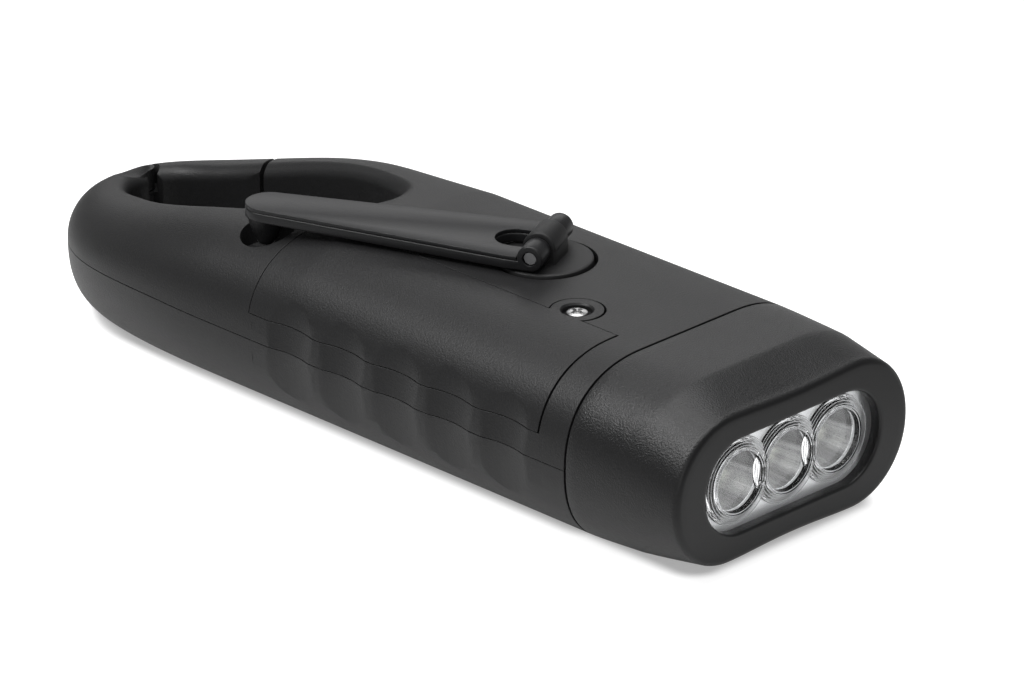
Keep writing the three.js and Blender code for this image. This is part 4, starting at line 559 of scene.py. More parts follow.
def make_hollow():
    """The room inside, with walls round the loop, the knob's pocket, the hub's cup and the tab."""
    hollow = body_form("hollow", WALL, SEAM_X + OVERRUN)
    high = (SEAM_X + 2 * OVERRUN, HALF_WIDTH + OVERRUN, THICKNESS)
    boolean(hollow, box("keep", (HOLLOW_START_X, -HALF_WIDTH - OVERRUN, 0), high), "INTERSECT")
    cut(hollow, prism("loop_wall", loop_outline(LOOP_EDGE_ROUND + WALL), UNDER, ABOVE))
    cut(hollow, turned("pocket_wall", POCKET_WALL, *POCKET, facets=POCKET_FACETS))
    cut(hollow, prism("cup_wall", circle(*HUB, HUB_WELL_RADIUS), RECESS_FLOOR - WELL_WALL, ABOVE))
    return cut(hollow, prism("tab_wall", circle(*TAB, TAB_WELL_RADIUS), TAB_WELL_FLOOR, ABOVE))


def make_upper(ring):
    upper = copy(ring, "upper_casing_skin")
    boolean(upper, half_space(PARTING_GAP), "INTERSECT")
    cut(upper, cover_opening(), turned("pocket", POCKET_PROFILE, *POCKET, facets=POCKET_FACETS))
    cut(upper, prism("hub", circle(*HUB, HUB_RADIUS + HUB_GAP, HUB_FACETS), RECESS_FLOOR, ABOVE))
    return cut(upper, prism("spindle", circle(*HUB, SPINDLE_RADIUS), PARTING_Z, ABOVE))


def make_lower(ring):
    """The ring itself becomes the lower shell."""
    ring.name = "lower_casing_skin"
    boolean(ring, half_space(-PARTING_GAP), "INTERSECT")
    cut(ring, turned("button", BUTTON_HOLE, *BUTTON))
    for place in CASING_SCREWS:
        cut(ring, prism("screw", circle(*place, SCREW_WELL_RADIUS, SMALL_FACETS), UNDER, SCREW_WELL_TOP))
    return ring


def make_cover(form):
    cover = copy(form, "battery_cover_skin")
    boolean(cover, cover_region("region", -COVER_GAP), "INTERSECT")
    cut(cover, body_form("inner", WALL, SEAM_X), turned("recess", TAB_RECESS, *TAB))
    return cut(cover, prism("hole", circle(*TAB, TAB_HOLE_RADIUS, SMALL_FACETS), PARTING_Z, ABOVE))


form = body_form("form")
cut(form, scallop_tool(1), scallop_tool(-1))
loop = loop_cutter()
gate = make_gate(form, loop)
ring = make_ring(form, loop)
cut(ring, make_hollow())
upper = make_upper(ring)
lower = make_lower(ring)
cover = make_cover(form)
drop(form)
for obj in (gate, upper, lower, cover):
    smooth(obj)

# Head
KINK_TOP_X = 138.0
KINK_BOTTOM_X = 134.0
KINK_MIDDLE_X = (KINK_TOP_X + KINK_BOTTOM_X) / 2
KINK_ROUND = 0.5
KINK_START, KINK_END = -0.12, 0.42  # places of the two rings that round the crease
KINK_START_SHARE = 0.012
FRONT_HALF_WIDTH = 24.5
FRONT_HALF_HEIGHT = 11.7
FRONT_ROUND = 11.5
FRONT_WAIST = 0.4
SIDE_TAPER_START = 0.4
SIDE_TAPER_POWER = 1.25
EDGE_ROUND = 1.1
SEAM_ROUND = 0.35
SPIGOT_LENGTH = 1.6
SPIGOT_INSET = 2.3
HEAD_WALL = 3.3
HEAD_INSIDE_X = 139.0
HEAD_SIDE_STEPS = 26
WAIST_STEPS = 28
WINDOW_HALF_WIDTH = 18.3
WINDOW_HALF_HEIGHT = 7.4
WINDOW_ROUND = 0.4
WINDOW_LIP_X = 144.9
FACE_SHARES = (0.25, 0.6, 0.9)  # rings on the face, on the way from its edge to the window
LENS_STOP_X = 144.2
LENS_ROOM = 1.2
LENS_ROOM_X = 140.0
ARC_POINTS = 60


def head_ring(share, inset, x_of, side_share=None):
    """A ring of the head. The flats go towards the front's shape by share, the sides by side_share."""
    t = np.linspace(0, math.pi / 2, HEAD_SIDE_STEPS + 1)
    curve = side_curve(SIDE_ROUND - inset, HEAD_SIDE_STEPS)
    front_round = FRONT_ROUND - inset
    ease = share if side_share is None else share + (side_share - share) * np.cos(t)
    seam_y = HALF_WIDTH - inset - curve[:, 0]
    seam_z = (PARTING_Z - inset) * curve[:, 1]
    front_y = FRONT_HALF_WIDTH - inset - front_round * (1 - np.cos(t))
    front_z = FRONT_HALF_HEIGHT - inset - front_round * (1 - np.sin(t))
    y = seam_y + (front_y - seam_y) * ease
    z = seam_z + (front_z - seam_z) * ease
    across = 1 - 2 * np.arange(1, WAIST_STEPS) / WAIST_STEPS
    level_z = z[-1] - FRONT_WAIST * share * (1 - across**2) ** 2
    up_y = np.concatenate([y, y[-1] * across, -y[::-1]])
    up_z = np.concatenate([z, level_z, z[::-1]])
    ys = np.concatenate([up_y, up_y[1:-1][::-1]])
    zs = np.concatenate([up_z, -up_z[1:-1][::-1]])
    return np.column_stack([x_of(zs / PARTING_Z), ys, PARTING_Z + zs])


def window_ring(grow, x, template):
    """The lens opening's outline, its points matched to a head ring by the length run."""
    hw, hh = WINDOW_HALF_WIDTH + grow, WINDOW_HALF_HEIGHT + grow
    flat = hw - hh
    arc = []
    for middle, start in ((flat, 0), (-flat, math.pi / 2)):
        turn = np.linspace(start, start + math.pi / 2, ARC_POINTS)
        arc += [(middle + hh * math.cos(a), hh * math.sin(a)) for a in turn]
    arc += [(-y, -z) for y, z in arc]
    arc = np.array(arc + [arc[0]])
    run = length_run(arc)
    template_run = length_run(np.vstack([template[:, 1:], template[:1, 1:]]))
    s = template_run[:-1] / template_run[-1] * run[-1]
    y = np.interp(s, run, arc[:, 0])
    z = np.interp(s, run, arc[:, 1])
    return np.column_stack([np.full(len(y), x), y, PARTING_Z + z])


def kink_x(shift):
    """The leaning crease across the head: its place at a share of the half height."""
    return lambda h: KINK_MIDDLE_X + (KINK_TOP_X - KINK_MIDDLE_X) * h + shift


def outside_rings():
    """The head from its spigot in the casing over the crease to the edge of its face."""
    start = SEAM_X + SEAM_GAP
    first, end = start + SIDE_TAPER_START, LENGTH - EDGE_ROUND
    after_kink = KINK_ROUND / (end - KINK_TOP_X)

    def side(x):
        return max((x - first) / (end - first), 0) ** SIDE_TAPER_POWER

    rings = [head_ring(0, SPIGOT_INSET, level_at(x)) for x in (SEAM_X - SPIGOT_LENGTH, start)]
    for i in range(5):
        a = math.pi / 2 * i / 4
        x = start + SEAM_ROUND * (1 - math.cos(a))
        rings.append(head_ring(0, SEAM_ROUND * (1 - math.sin(a)), level_at(x)))
    for k in range(1, 8):
        place = lambda h, k=k: first + (kink_x(-KINK_ROUND)(h) - first) * k / 7
        rings.append(head_ring(0, 0, place, side(first + (KINK_MIDDLE_X - KINK_ROUND - first) * k / 7)))
    for share, shift in ((KINK_START_SHARE, KINK_START), (after_kink, KINK_END)):
        rings.append(head_ring(share, 0, kink_x(shift), side(KINK_MIDDLE_X + shift)))
    for k in range(1, 9):
        share = after_kink + (1 - after_kink) * k / 8
        place = lambda h, s=share: kink_x(0)(h) + (end - kink_x(0)(h)) * s
        rings.append(head_ring(share, 0, place, side(KINK_MIDDLE_X + (end - KINK_MIDDLE_X) * share)))
    for i in range(1, 8):
        a = math.pi / 2 * i / 7
        x = LENGTH - EDGE_ROUND * (1 - math.sin(a))
        rings.append(head_ring(1, EDGE_ROUND * (1 - math.cos(a)), level_at(x)))
    return rings


def make_bezel():
    rings = outside_rings()
    edge = rings[-1]
    window_edge = window_ring(WINDOW_ROUND, LENGTH, edge)
    rings += [edge + (window_edge - edge) * share for share in FACE_SHARES]
    for i in range(5):
        a = math.pi / 2 * i / 4
        x = LENGTH - WINDOW_ROUND * (1 - math.cos(a))
        rings.append(window_ring(WINDOW_ROUND * (1 - math.sin(a)), x, edge))
    for grow, x in ((0, WINDOW_LIP_X), (0, LENS_STOP_X), (LENS_ROOM, LENS_STOP_X), (LENS_ROOM, LENS_ROOM_X)):
        rings.append(window_ring(grow, x, edge))
    rings += [head_ring(0, HEAD_WALL, level_at(x)) for x in (HEAD_INSIDE_X, SEAM_X - SPIGOT_LENGTH)]
    return smooth(loft("head_bezel_skin", rings, closed=True), 28)


bezel = make_bezel()

# Crank
CRANK_TURN = math.radians(204.8)
HINGE_Z = 31.25
HINGE_ROD_RADIUS = 2.0
HINGE_BORE_RADIUS = 1.1
HINGE_GAP = 0.1
ARM_BOTTOM = 29.25
ARM_BASE_TOP = 30.75
ARM_HALF_WIDTH = 7.0
ARM_TAPER_START = 4.0
ARM_EDGE = 0.25
ARM_TIP_RADIUS = 3.7
TIP_STEPS = 20
TIP_REACH = 43.8
PLATE_BOTTOM = 30.8
PLATE_TOP = 31.35
PLATE_MARGIN = 0.05
PLATE_EDGE = 0.22
SLOT_REACH = 7.7
SLOT_HALF_WIDTH = 3.05
SLOT_POINTS = 25
ROD_EDGE = 0.25
ROD_EDGE_STEPS = 3
KNOB_REACH = 44.4
KNOB_RADIUS = 2.9
KNOB_GAP = 0.1
KNOB_SEAT_TOP = 29.85
NECK_BORE_RADIUS = 1.3
WASHER_ROOM_RADIUS = 2.1
WASHER_ROOM_BOTTOM = 30.2
KNOB_PROFILE = (
    (0.35, 24.42), (0.75, 24.5), (1.15, 24.75), (1.45, 25.1), (1.7, 25.6), (2.35, 27.4), (2.72, 28.6),
    (2.88, 29.2), (KNOB_RADIUS, 29.65), (2.8, 29.72), (1.2, 29.74), (1.2, 30.6), (1.1, 30.65),
)
HUB_PROFILE = (
    (2.2, 20.8), (2.2, 23.4), (3.0, 23.4), (3.0, 26.8), (7.1, 26.8), (HUB_RADIUS, 26.95),
    (HUB_RADIUS, 28.65), (7.17, 28.86), (6.95, 28.98), (6.7, 29.0),
)
LUG_RADIUS = 2.6
LUG_HALF_WIDTH = 2.85
LUG_EDGE = 0.3
LUG_FACETS = 96
LUG_BOTTOM = 28.5
LUG_BORE_RADIUS = 1.05
GEAR_SCREW_RADIUS = 0.9
GEAR_SCREW_TOP = 25.2
GEAR_SCREW_FACETS = 32


def to_crank(points):
    """From the crank's own frame, X towards the folded arm's tip, to the torch's."""
    p = np.asarray(points, dtype=float)
    c, s = math.cos(CRANK_TURN), math.sin(CRANK_TURN)
    out = p.copy()
    out[:, 0] = HUB[0] + p[:, 0] * c - p[:, 1] * s
    out[:, 1] = HUB[1] + p[:, 0] * s + p[:, 1] * c
    return out


def crank_prism(name, outline, bottom, top):
    outline = np.asarray(outline, dtype=float)
    low = np.column_stack([outline, np.full(len(outline), bottom)])
    high = np.column_stack([outline, np.full(len(outline), top)])
    return loft(name, [to_crank(low), to_crank(high)])


def on_hinge(name, profile, facets=64):
    """A [radius, place along the hinge] profile turned about the hinge axis."""
    t = np.arange(facets) * 2 * math.pi / facets
    rings = []
    for r, n in profile:
        rings.append(to_crank(np.column_stack([r * np.cos(t), np.full(facets, n), HINGE_Z + r * np.sin(t)])))
    return loft(name, rings)


def hinge_bore(radius):
    half = ARM_HALF_WIDTH + OVERRUN
    return on_hinge("bore", [(radius, -half), (radius, half)])


def round_rod(name, radius, start, end, edge=ROD_EDGE, facets=64):
    profile = []
    for i in range(ROD_EDGE_STEPS + 1):
        a = math.pi / 2 * i / ROD_EDGE_STEPS
        profile.append((radius - edge * (1 - math.sin(a)), start + edge * (1 - math.cos(a))))
    profile += [(r, start + end - n) for r, n in reversed(profile)]
    return on_hinge(name, profile, facets)


def arm_outline(margin=0.0):
    """A tapering arm with a round tip and a slot for the hub's lug, drawn in by a margin."""
    slope = math.asin((ARM_HALF_WIDTH - ARM_TIP_RADIUS) / (TIP_REACH - ARM_TAPER_START))
    half, tip, slot = ARM_HALF_WIDTH - margin, ARM_TIP_RADIUS - margin, SLOT_HALF_WIDTH + margin
    pts = [(0, -half), (ARM_TAPER_START, -half)]
    for i in range(-TIP_STEPS, TIP_STEPS + 1):
        a = (math.pi / 2 - slope) * i / TIP_STEPS
        pts.append((TIP_REACH + tip * math.cos(a), tip * math.sin(a)))
    pts += [(ARM_TAPER_START, half), (0, half), (0, slot)]
    for a in np.linspace(math.pi / 2, -math.pi / 2, SLOT_POINTS):
        pts.append((SLOT_REACH - SLOT_HALF_WIDTH + slot * math.cos(a), slot * math.sin(a)))
    return pts + [(0, -slot)]


KNOB = to_crank([(KNOB_REACH, 0, 0)])[0][:2]


def make_arm():
    arm = bevel(crank_prism("crank_arm_skin", arm_outline(), ARM_BOTTOM, ARM_BASE_TOP), ARM_EDGE)
    for start, end in ((-ARM_HALF_WIDTH, -SLOT_HALF_WIDTH), (SLOT_HALF_WIDTH, ARM_HALF_WIDTH)):
        join(arm, round_rod("barrel", HINGE_ROD_RADIUS, start, end))
    cut(arm, hinge_bore(HINGE_BORE_RADIUS))
    cut(arm, prism("seat", circle(*KNOB, KNOB_RADIUS + KNOB_GAP, 64), PARTING_Z, KNOB_SEAT_TOP))
    cut(arm, prism("neck", circle(*KNOB, NECK_BORE_RADIUS, SMALL_FACETS), PARTING_Z, ABOVE))
    cut(arm, prism("room", circle(*KNOB, WASHER_ROOM_RADIUS, SMALL_FACETS), WASHER_ROOM_BOTTOM, ABOVE))
    return smooth(arm)


def make_plate():
    plate = crank_prism("crank_arm_plate_skin", arm_outline(PLATE_MARGIN), PLATE_BOTTOM, PLATE_TOP)
    cut(plate, hinge_bore(HINGE_ROD_RADIUS + HINGE_GAP))
    return smooth(bevel(plate, PLATE_EDGE))


def make_hub():
    """The turned hub with its lug, which stands on a block between the arm's two barrels."""
    hub = turned("crank_hub_skin", HUB_PROFILE, *HUB, facets=HUB_FACETS)
    lug = round_rod("lug", LUG_RADIUS, -LUG_HALF_WIDTH, LUG_HALF_WIDTH, LUG_EDGE, LUG_FACETS)
    corners = [(x * LUG_RADIUS, y * LUG_HALF_WIDTH) for x, y in ((-1, -1), (1, -1), (1, 1), (-1, 1))]
    block = bevel(crank_prism("block", corners, LUG_BOTTOM, HINGE_Z), ROD_EDGE)
    join(hub, block, lug)
    gear_screw = circle(*HUB, GEAR_SCREW_RADIUS, GEAR_SCREW_FACETS)
    cut(hub, hinge_bore(LUG_BORE_RADIUS), prism("screw", gear_screw, PARTING_Z, GEAR_SCREW_TOP))
    return smooth(hub)


arm = make_arm()
plate = make_plate()
hub = make_hub()
knob = smooth(turned("crank_knob_skin", KNOB_PROFILE, *KNOB, facets=64), 40)

# Battery cover screw
SCREW_TOP = 28.45
SCREW_PROFILE = (
    (0.95, 21.4), (0.95, 27.65), (1.55, 27.65), (1.62, 27.72), (1.62, 28.08), (1.55, 28.22), (1.3, 28.35),
    (0.9, 28.42), (0.5, SCREW_TOP), (0.05, SCREW_TOP),
)
CROSS_FLOOR = 27.7
CROSS_HALF_WIDTH, CROSS_HALF_LENGTH = 0.3, 1.05
CROSS_CONE = ((0.1, 27.3), (0.66, 28.6))


def make_cover_screw():
    """A pan head with a cross recess on a plain shank."""
    screw = turned("battery_cover_screw_skin", SCREW_PROFILE, *TAB, facets=64)
    for wide, long in ((CROSS_HALF_WIDTH, CROSS_HALF_LENGTH), (CROSS_HALF_LENGTH, CROSS_HALF_WIDTH)):
        low = (TAB[0] - wide, TAB[1] - long, CROSS_FLOOR)
        cut(screw, box("cross", low, (TAB[0] + wide, TAB[1] + long, ABOVE)))
    cut(screw, turned("cone", CROSS_CONE, *TAB, facets=32))
    return smooth(screw)


screw = make_cover_screw()

# Lens and reflector
LED_PITCH = 10.23
LEDS = (-LED_PITCH, 0.0, LED_PITCH)
SEAT_START_X, SEAT_END_X = 142.2, 143.2
SEAT_GROW = 0.9
CUP_PROFILE = ((3.35, 134.6), (4.42, 137.47), (4.86, 140.33), (5.2, SEAT_END_X))
BOWL_START_X = 134.6
BOWL_LENGTH = 8.6
BOWL_THROAT_RADIUS = 2.75
BOWL_FLARE = 1.85
BOWL_STEPS = 12
MOUTH_RADIUS = 4.75
MOUTH_LEDGE = 0.05
POST_Y = 15.2
POST_PROFILE = ((1.2, 130.7), (1.2, 143.0))
LENS_START_X, LENS_END_X = 143.3, 144.1
LENS_GROW = 1.1
# a turned ridge with fine steps, that stands on the lens round each cup
COLLAR = (
    (4.62, 144.0), (4.62, 144.85), (4.7, 145.0), (4.82, 145.0), (4.9, 144.86), (4.98, 144.86),
    (5.06, 145.04), (5.2, 145.08), (5.38, 144.9), (5.56, 144.94), (5.76, 144.74), (5.96, 144.78),
    (6.16, 144.56), (6.34, 144.6), (6.52, 144.42), (6.66, 144.44), (6.74, 144.3), (6.74, 144.0),
)


def window_prism(name, grow, x0, x1):
    template = head_ring(1, EDGE_ROUND, level_at(0.0))
    return loft(name, [window_ring(grow, x0, template), window_ring(grow, x1, template)])


def make_reflector():
    """Three cups on one seat, with a post at each end."""
    reflector = window_prism("reflector_skin", SEAT_GROW, SEAT_START_X, SEAT_END_X)
    for y in LEDS:
        join(reflector, turned_x("cup", CUP_PROFILE, y, PARTING_Z, 64))
    for y in (-POST_Y, POST_Y):
        join(reflector, turned_x("post", POST_PROFILE, y, PARTING_Z, 32))
    bowl = [(BOWL_THROAT_RADIUS, BOWL_START_X - OVERRUN)]
    for i in range(BOWL_STEPS + 1):
        t = i / BOWL_STEPS
        bowl.append((BOWL_THROAT_RADIUS + BOWL_FLARE * math.sqrt(t), BOWL_START_X + BOWL_LENGTH * t))
    bowl += [(MOUTH_RADIUS, SEAT_END_X + MOUTH_LEDGE), (MOUTH_RADIUS, LENGTH)]
    for y in LEDS:
        cut(reflector, turned_x("bowl", bowl, y, PARTING_Z, 96))
    return smooth(reflector)


def make_lens():
    lens = window_prism("lens_skin", LENS_GROW, LENS_START_X, LENS_END_X)
    for y in LEDS:
        join(lens, turned_x("collar", COLLAR, y, PARTING_Z, 128, closed=True))
    return smooth(lens, 50)


reflector = make_reflector()
lens = make_lens()

# Materials
BEVEL_RADIUS = 0.18  # of the edges, rounded in the shading alone
BUMP_SHARE = 0.6  # of the grain's size
GRAIN_END = 0.5  # the length over which the grain fades out
PLAIN_BUMP = 0.05  # left of it beyond
GLOSS_SPREAD = 0.04
WAVE_SCALE = 90
HAZE_SCALE = 500
METAL_BUMP = 0.05


def node_material(name):
    mat = bpy.data.materials.new(name)
    mat.use_nodes = True
    nodes, links = mat.node_tree.nodes, mat.node_tree.links
    shader = nodes["Principled BSDF"]
    return mat, nodes, links, shader


def maths(nodes, links, operation, first, second=None):
    """One maths node; a number is set on its socket, anything else is linked to it."""
    node = nodes.new("ShaderNodeMath")
    node.operation = operation
    for socket, value in zip(node.inputs, (first, second)):
        if isinstance(value, (int, float)):
            socket.default_value = value
        elif value is not None:
            links.new(value, socket)
    return node.outputs[0]


def vector_maths(nodes, links, operation, first, second=None):
    node = nodes.new("ShaderNodeVectorMath")
    node.operation = operation
    links.new(first, node.inputs[0])
    if second is not None:
        node.inputs[1].default_value = second
    return node.outputs["Value"] if operation in ("LENGTH", "DOT_PRODUCT") else node.outputs["Vector"]


def span(nodes, links, value, start, end, low, high, smooth_step=False):
    """A value between start and end spread over low to high, and held beyond them."""
    node = nodes.new("ShaderNodeMapRange")
    if smooth_step:
        node.interpolation_type = "SMOOTHSTEP"
    links.new(value, node.inputs["Value"])
    for key, number in (("From Min", start), ("From Max", end), ("To Min", low), ("To Max", high)):
        node.inputs[key].default_value = number
    return node.outputs["Result"]


def noise(nodes, links, point, scale, detail=2, roughness=0.5):
    node = nodes.new("ShaderNodeTexNoise")
    for key, number in (("Scale", scale), ("Detail", detail), ("Roughness", roughness)):
        node.inputs[key].default_value = number
    links.new(point, node.inputs["Vector"])
    return node.outputs["Fac"]


def plastic(name, color, roughness, grain_mm, bump, speckle=0.25, spec=0.4, plain_beyond=None):
    """Moulded plastic: a fine spark-eroded grain in the bump and a slight change of colour and gloss.

    In front of plain_beyond, a place along the body in millimetres, the grain stops.
    """
    mat, nodes, links, shader = node_material(name)
    point = nodes.new("ShaderNodeTexCoord").outputs["Object"]
    grain = noise(nodes, links, point, 1 / (grain_mm * MM), 3, 0.6)
    tint = nodes.new("ShaderNodeMix")
    tint.data_type = "RGBA"
    tint.blend_type = "MULTIPLY"
    tint.inputs["Factor"].default_value = 1
    tint.inputs["A"].default_value = (*color, 1)
    links.new(span(nodes, links, grain, 0, 1, 1 - speckle, 1 + speckle), tint.inputs["B"])
    links.new(tint.outputs["Result"], shader.inputs["Base Color"])
    wave = noise(nodes, links, point, WAVE_SCALE)
    gloss = span(nodes, links, wave, 0, 1, roughness - GLOSS_SPREAD, roughness + GLOSS_SPREAD)
    links.new(gloss, shader.inputs["Roughness"])
    bump_node = nodes.new("ShaderNodeBump")
    bump_node.inputs["Distance"].default_value = grain_mm * MM * BUMP_SHARE
    if plain_beyond is None:
        bump_node.inputs["Strength"].default_value = bump
    else:
        place = nodes.new("ShaderNodeSeparateXYZ")
        links.new(point, place.inputs[0])
        start = (plain_beyond - LENGTH / 2) * MM
        strength = span(nodes, links, place.outputs["X"], start, start + GRAIN_END * MM, bump, PLAIN_BUMP)
        links.new(strength, bump_node.inputs["Strength"])
    links.new(grain, bump_node.inputs["Height"])
    round_edges = nodes.new("ShaderNodeBevel")
    round_edges.samples = 4
    round_edges.inputs["Radius"].default_value = BEVEL_RADIUS * MM
    links.new(round_edges.outputs["Normal"], bump_node.inputs["Normal"])
    links.new(bump_node.outputs["Normal"], shader.inputs["Normal"])
    shader.inputs["Specular IOR Level"].default_value = spec
    return mat


def metal(name, color, roughness, scale=900, bump=0.1):
    """Bare metal with a fine unevenness in its gloss and surface."""
    mat, nodes, links, shader = node_material(name)
    wear = noise(nodes, links, nodes.new("ShaderNodeTexCoord").outputs["Object"], scale)
    gloss = span(nodes, links, wear, 0, 1, max(roughness - 0.06, 0.02), roughness + 0.08)
    links.new(gloss, shader.inputs["Roughness"])
    bump_node = nodes.new("ShaderNodeBump")
    bump_node.inputs["Strength"].default_value = bump
    bump_node.inputs["Distance"].default_value = METAL_BUMP * MM
    links.new(wear, bump_node.inputs["Height"])
    links.new(bump_node.outputs["Normal"], shader.inputs["Normal"])
    shader.inputs["Base Color"].default_value = (*color, 1)
    shader.inputs["Metallic"].default_value = 1
    return mat


def clear(name, color, roughness, ior=1.49):
    mat, nodes, links, shader = node_material(name)
    haze = noise(nodes, links, nodes.new("ShaderNodeTexCoord").outputs["Object"], HAZE_SCALE)
    links.new(span(nodes, links, haze, 0, 1, roughness, roughness + 0.03), shader.inputs["Roughness"])
    shader.inputs["Base Color"].default_value = (*color, 1)
    shader.inputs["Transmission Weight"].default_value = 1
    shader.inputs["IOR"].default_value = ior
    return mat


CUP_PAINTED_GLOW = 0.08  # painted glows: they stand for the bright room that the cups of the photograph mirror, a painted reflection
SEAT_PAINTED_GLOW = 0.12
PAINTED_WEDGE_WAY = (0, 0.74, 0.67)  # the side of each cup that shows a painted dark wedge, the dark part of a painted reflection
PAINTED_WEDGE_EDGE = (0.72, 0.8)
PAINTED_WEDGE_TONE = 0.35
# painted shade on the seat, towards its far ends and under each collar of the lens
SEAT_FAR_SHADE_EDGE = (LED_PITCH + 5.6, LED_PITCH + 6.4)
COLLAR_SHADE_EDGE = (6.5, 7.0)


def reflector_metal():
    """Bright metal with streaks round each cup, a painted dark wedge and a painted glow in each cup, and a
    seat darkened by painted shade under each collar of the lens and towards its far ends, with a weaker
    painted glow.
    """
    mat, nodes, links, shader = node_material("reflector")
    coords = nodes.new("ShaderNodeTexCoord")
    in_mm = vector_maths(nodes, links, "MULTIPLY", coords.outputs["Object"], (1 / MM, 1 / MM, 1 / MM))
    place = nodes.new("ShaderNodeSeparateXYZ")
    links.new(in_mm, place.inputs[0])
    nearest = maths(nodes, links, "ROUND", maths(nodes, links, "DIVIDE", place.outputs["Y"], LED_PITCH))
    number = maths(nodes, links, "MAXIMUM", maths(nodes, links, "MINIMUM", nearest, 1), -1)
    cup_y = maths(nodes, links, "MULTIPLY", number, LED_PITCH)
    across = maths(nodes, links, "SUBTRACT", place.outputs["Y"], cup_y)
    joined = nodes.new("ShaderNodeCombineXYZ")
    links.new(across, joined.inputs["Y"])
    links.new(maths(nodes, links, "SUBTRACT", place.outputs["Z"], PARTING_Z), joined.inputs["Z"])
    radius = vector_maths(nodes, links, "LENGTH", joined.outputs[0])
    way = vector_maths(nodes, links, "NORMALIZE", joined.outputs[0])
    streaks = nodes.new("ShaderNodeTexNoise")
    streaks.noise_dimensions = "4D"
    streaks.inputs["Scale"].default_value = 4
    streaks.inputs["Detail"].default_value = 4
    streaks.inputs["Roughness"].default_value = 0.75
    links.new(way, streaks.inputs["Vector"])
    links.new(number, streaks.inputs["W"])
    streak = span(nodes, links, streaks.outputs["Fac"], 0.35, 0.62, 0.6, 1.0)
    # a painted dark wedge on one side of each cup, the dark part of a painted reflection
    upper_side = vector_maths(nodes, links, "DOT_PRODUCT", way, PAINTED_WEDGE_WAY)
    shade = span(nodes, links, upper_side, *PAINTED_WEDGE_EDGE, 1, PAINTED_WEDGE_TONE)
    cup = maths(nodes, links, "MULTIPLY", streak, shade)
    # painted shade on the seat, darker towards its far ends and under each collar
    far_end_painted_shade = span(nodes, links, place.outputs["Y"], *SEAT_FAR_SHADE_EDGE, 0.8, 0.3)
    seat = maths(nodes, links, "MINIMUM", span(nodes, links, radius, *COLLAR_SHADE_EDGE, 0.5, 0.8), far_end_painted_shade)
    in_cup = maths(nodes, links, "LESS_THAN", radius, MOUTH_RADIUS)
    level = nodes.new("ShaderNodeMix")
    links.new(in_cup, level.inputs["Factor"])
    links.new(seat, level.inputs["A"])
    links.new(cup, level.inputs["B"])
    tone = nodes.new("ShaderNodeCombineColor")
    for key in ("Red", "Green", "Blue"):
        links.new(level.outputs["Result"], tone.inputs[key])
    links.new(tone.outputs["Color"], shader.inputs["Base Color"])
    polish = nodes.new("ShaderNodeMix")
    links.new(in_cup, polish.inputs["Factor"])
    polish.inputs["A"].default_value = 0.5
    links.new(span(nodes, links, streaks.outputs["Fac"], 0.3, 0.7, 0.1, 0.26), polish.inputs["B"])
    links.new(polish.outputs["Result"], shader.inputs["Roughness"])
    shader.inputs["Metallic"].default_value = 0.9
    # painted reflection: the cups glow along their streaks outside the wedge, and the seat glows with its
    # painted-shade tone, though neither is a lamp
    bright = maths(nodes, links, "MULTIPLY", streak, span(nodes, links, shade, PAINTED_WEDGE_TONE, 1, 0.1, 1))
    glow = nodes.new("ShaderNodeMix")
    links.new(in_cup, glow.inputs["Factor"])
    links.new(maths(nodes, links, "MULTIPLY", seat, SEAT_PAINTED_GLOW), glow.inputs["A"])
    links.new(maths(nodes, links, "MULTIPLY", bright, CUP_PAINTED_GLOW), glow.inputs["B"])
    links.new(glow.outputs["Result"], shader.inputs["Emission Strength"])
    return mat


CASING = plastic("casing", (0.0125, 0.0125, 0.0130), 0.42, 0.28, 0.36)
BEZEL = plastic("bezel", (0.0105, 0.0105, 0.0110), 0.31, 0.27, 0.55, plain_beyond=LENGTH - 0.6)
SATIN = plastic("crank", (0.0135, 0.0135, 0.0145), 0.36, 0.25, 0.12)
BUTTON_MAT = plastic("button", (0.014, 0.014, 0.0145), 0.45, 0.3, 0.2)
STEEL = metal("steel", (0.72, 0.72, 0.72), 0.25)
ZINC = metal("zinc", (0.68, 0.68, 0.68), 0.3)
DULL = metal("dull_steel", (0.5, 0.5, 0.51), 0.42)
HUB_MAT = plastic("hub", (0.0125, 0.0125, 0.0130), 0.5, 0.25, 0.12)
CHROME = reflector_metal()
LENS = clear("lens", (0.97, 0.98, 0.99), 0.075)
LED = clear("led", (0.95, 0.95, 0.88), 0.05, 1.52)
BOARD = plastic("board", (0.02, 0.11, 0.05), 0.4, 0.6, 0.1)
GEAR = plastic("gear", (0.62, 0.6, 0.53), 0.45, 0.4, 0.15)
COIL = metal("coil", (0.5, 0.19, 0.07), 0.35, 2500, 0.4)
MAGNET = metal("magnet", (0.09, 0.09, 0.095), 0.5, 1500, 0.3)
CELL = plastic("cell", (0.03, 0.16, 0.07), 0.3, 0.8, 0.05)
CAPACITOR = plastic("capacitor", (0.02, 0.04, 0.14), 0.3, 0.8, 0.05)

BY_SLOT = {
    "casing": CASING, "bezel": BEZEL, "button": BUTTON_MAT, "crank": SATIN, "lens": LENS,
    "reflector": CHROME, "led": LED, "board": BOARD, "switch": BUTTON_MAT, "capacitor": CAPACITOR,
    "gear": GEAR, "magnet": MAGNET, "coil": COIL, "cell": CELL, "contact": STEEL, "plate": STEEL,
    "steel": STEEL,
}
slots = {s["node"]: s["material_slot"] for s in frame["record"]["subparts"]}
for node, obj in frame["nodes"].items():
    obj.data.materials.clear()
    obj.data.materials.append(DULL if node == "crank_hinge_pin" else BY_SLOT[slots[node]])


def stand_in(obj, node, body, finish=None):
    """A mesh of this script in the place of a CAD node, in a finish of its own or that of its slot."""
    obj.data.materials.clear()
    obj.data.materials.append(finish or BY_SLOT[slots[node]])
    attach(obj, body)
    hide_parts(node)


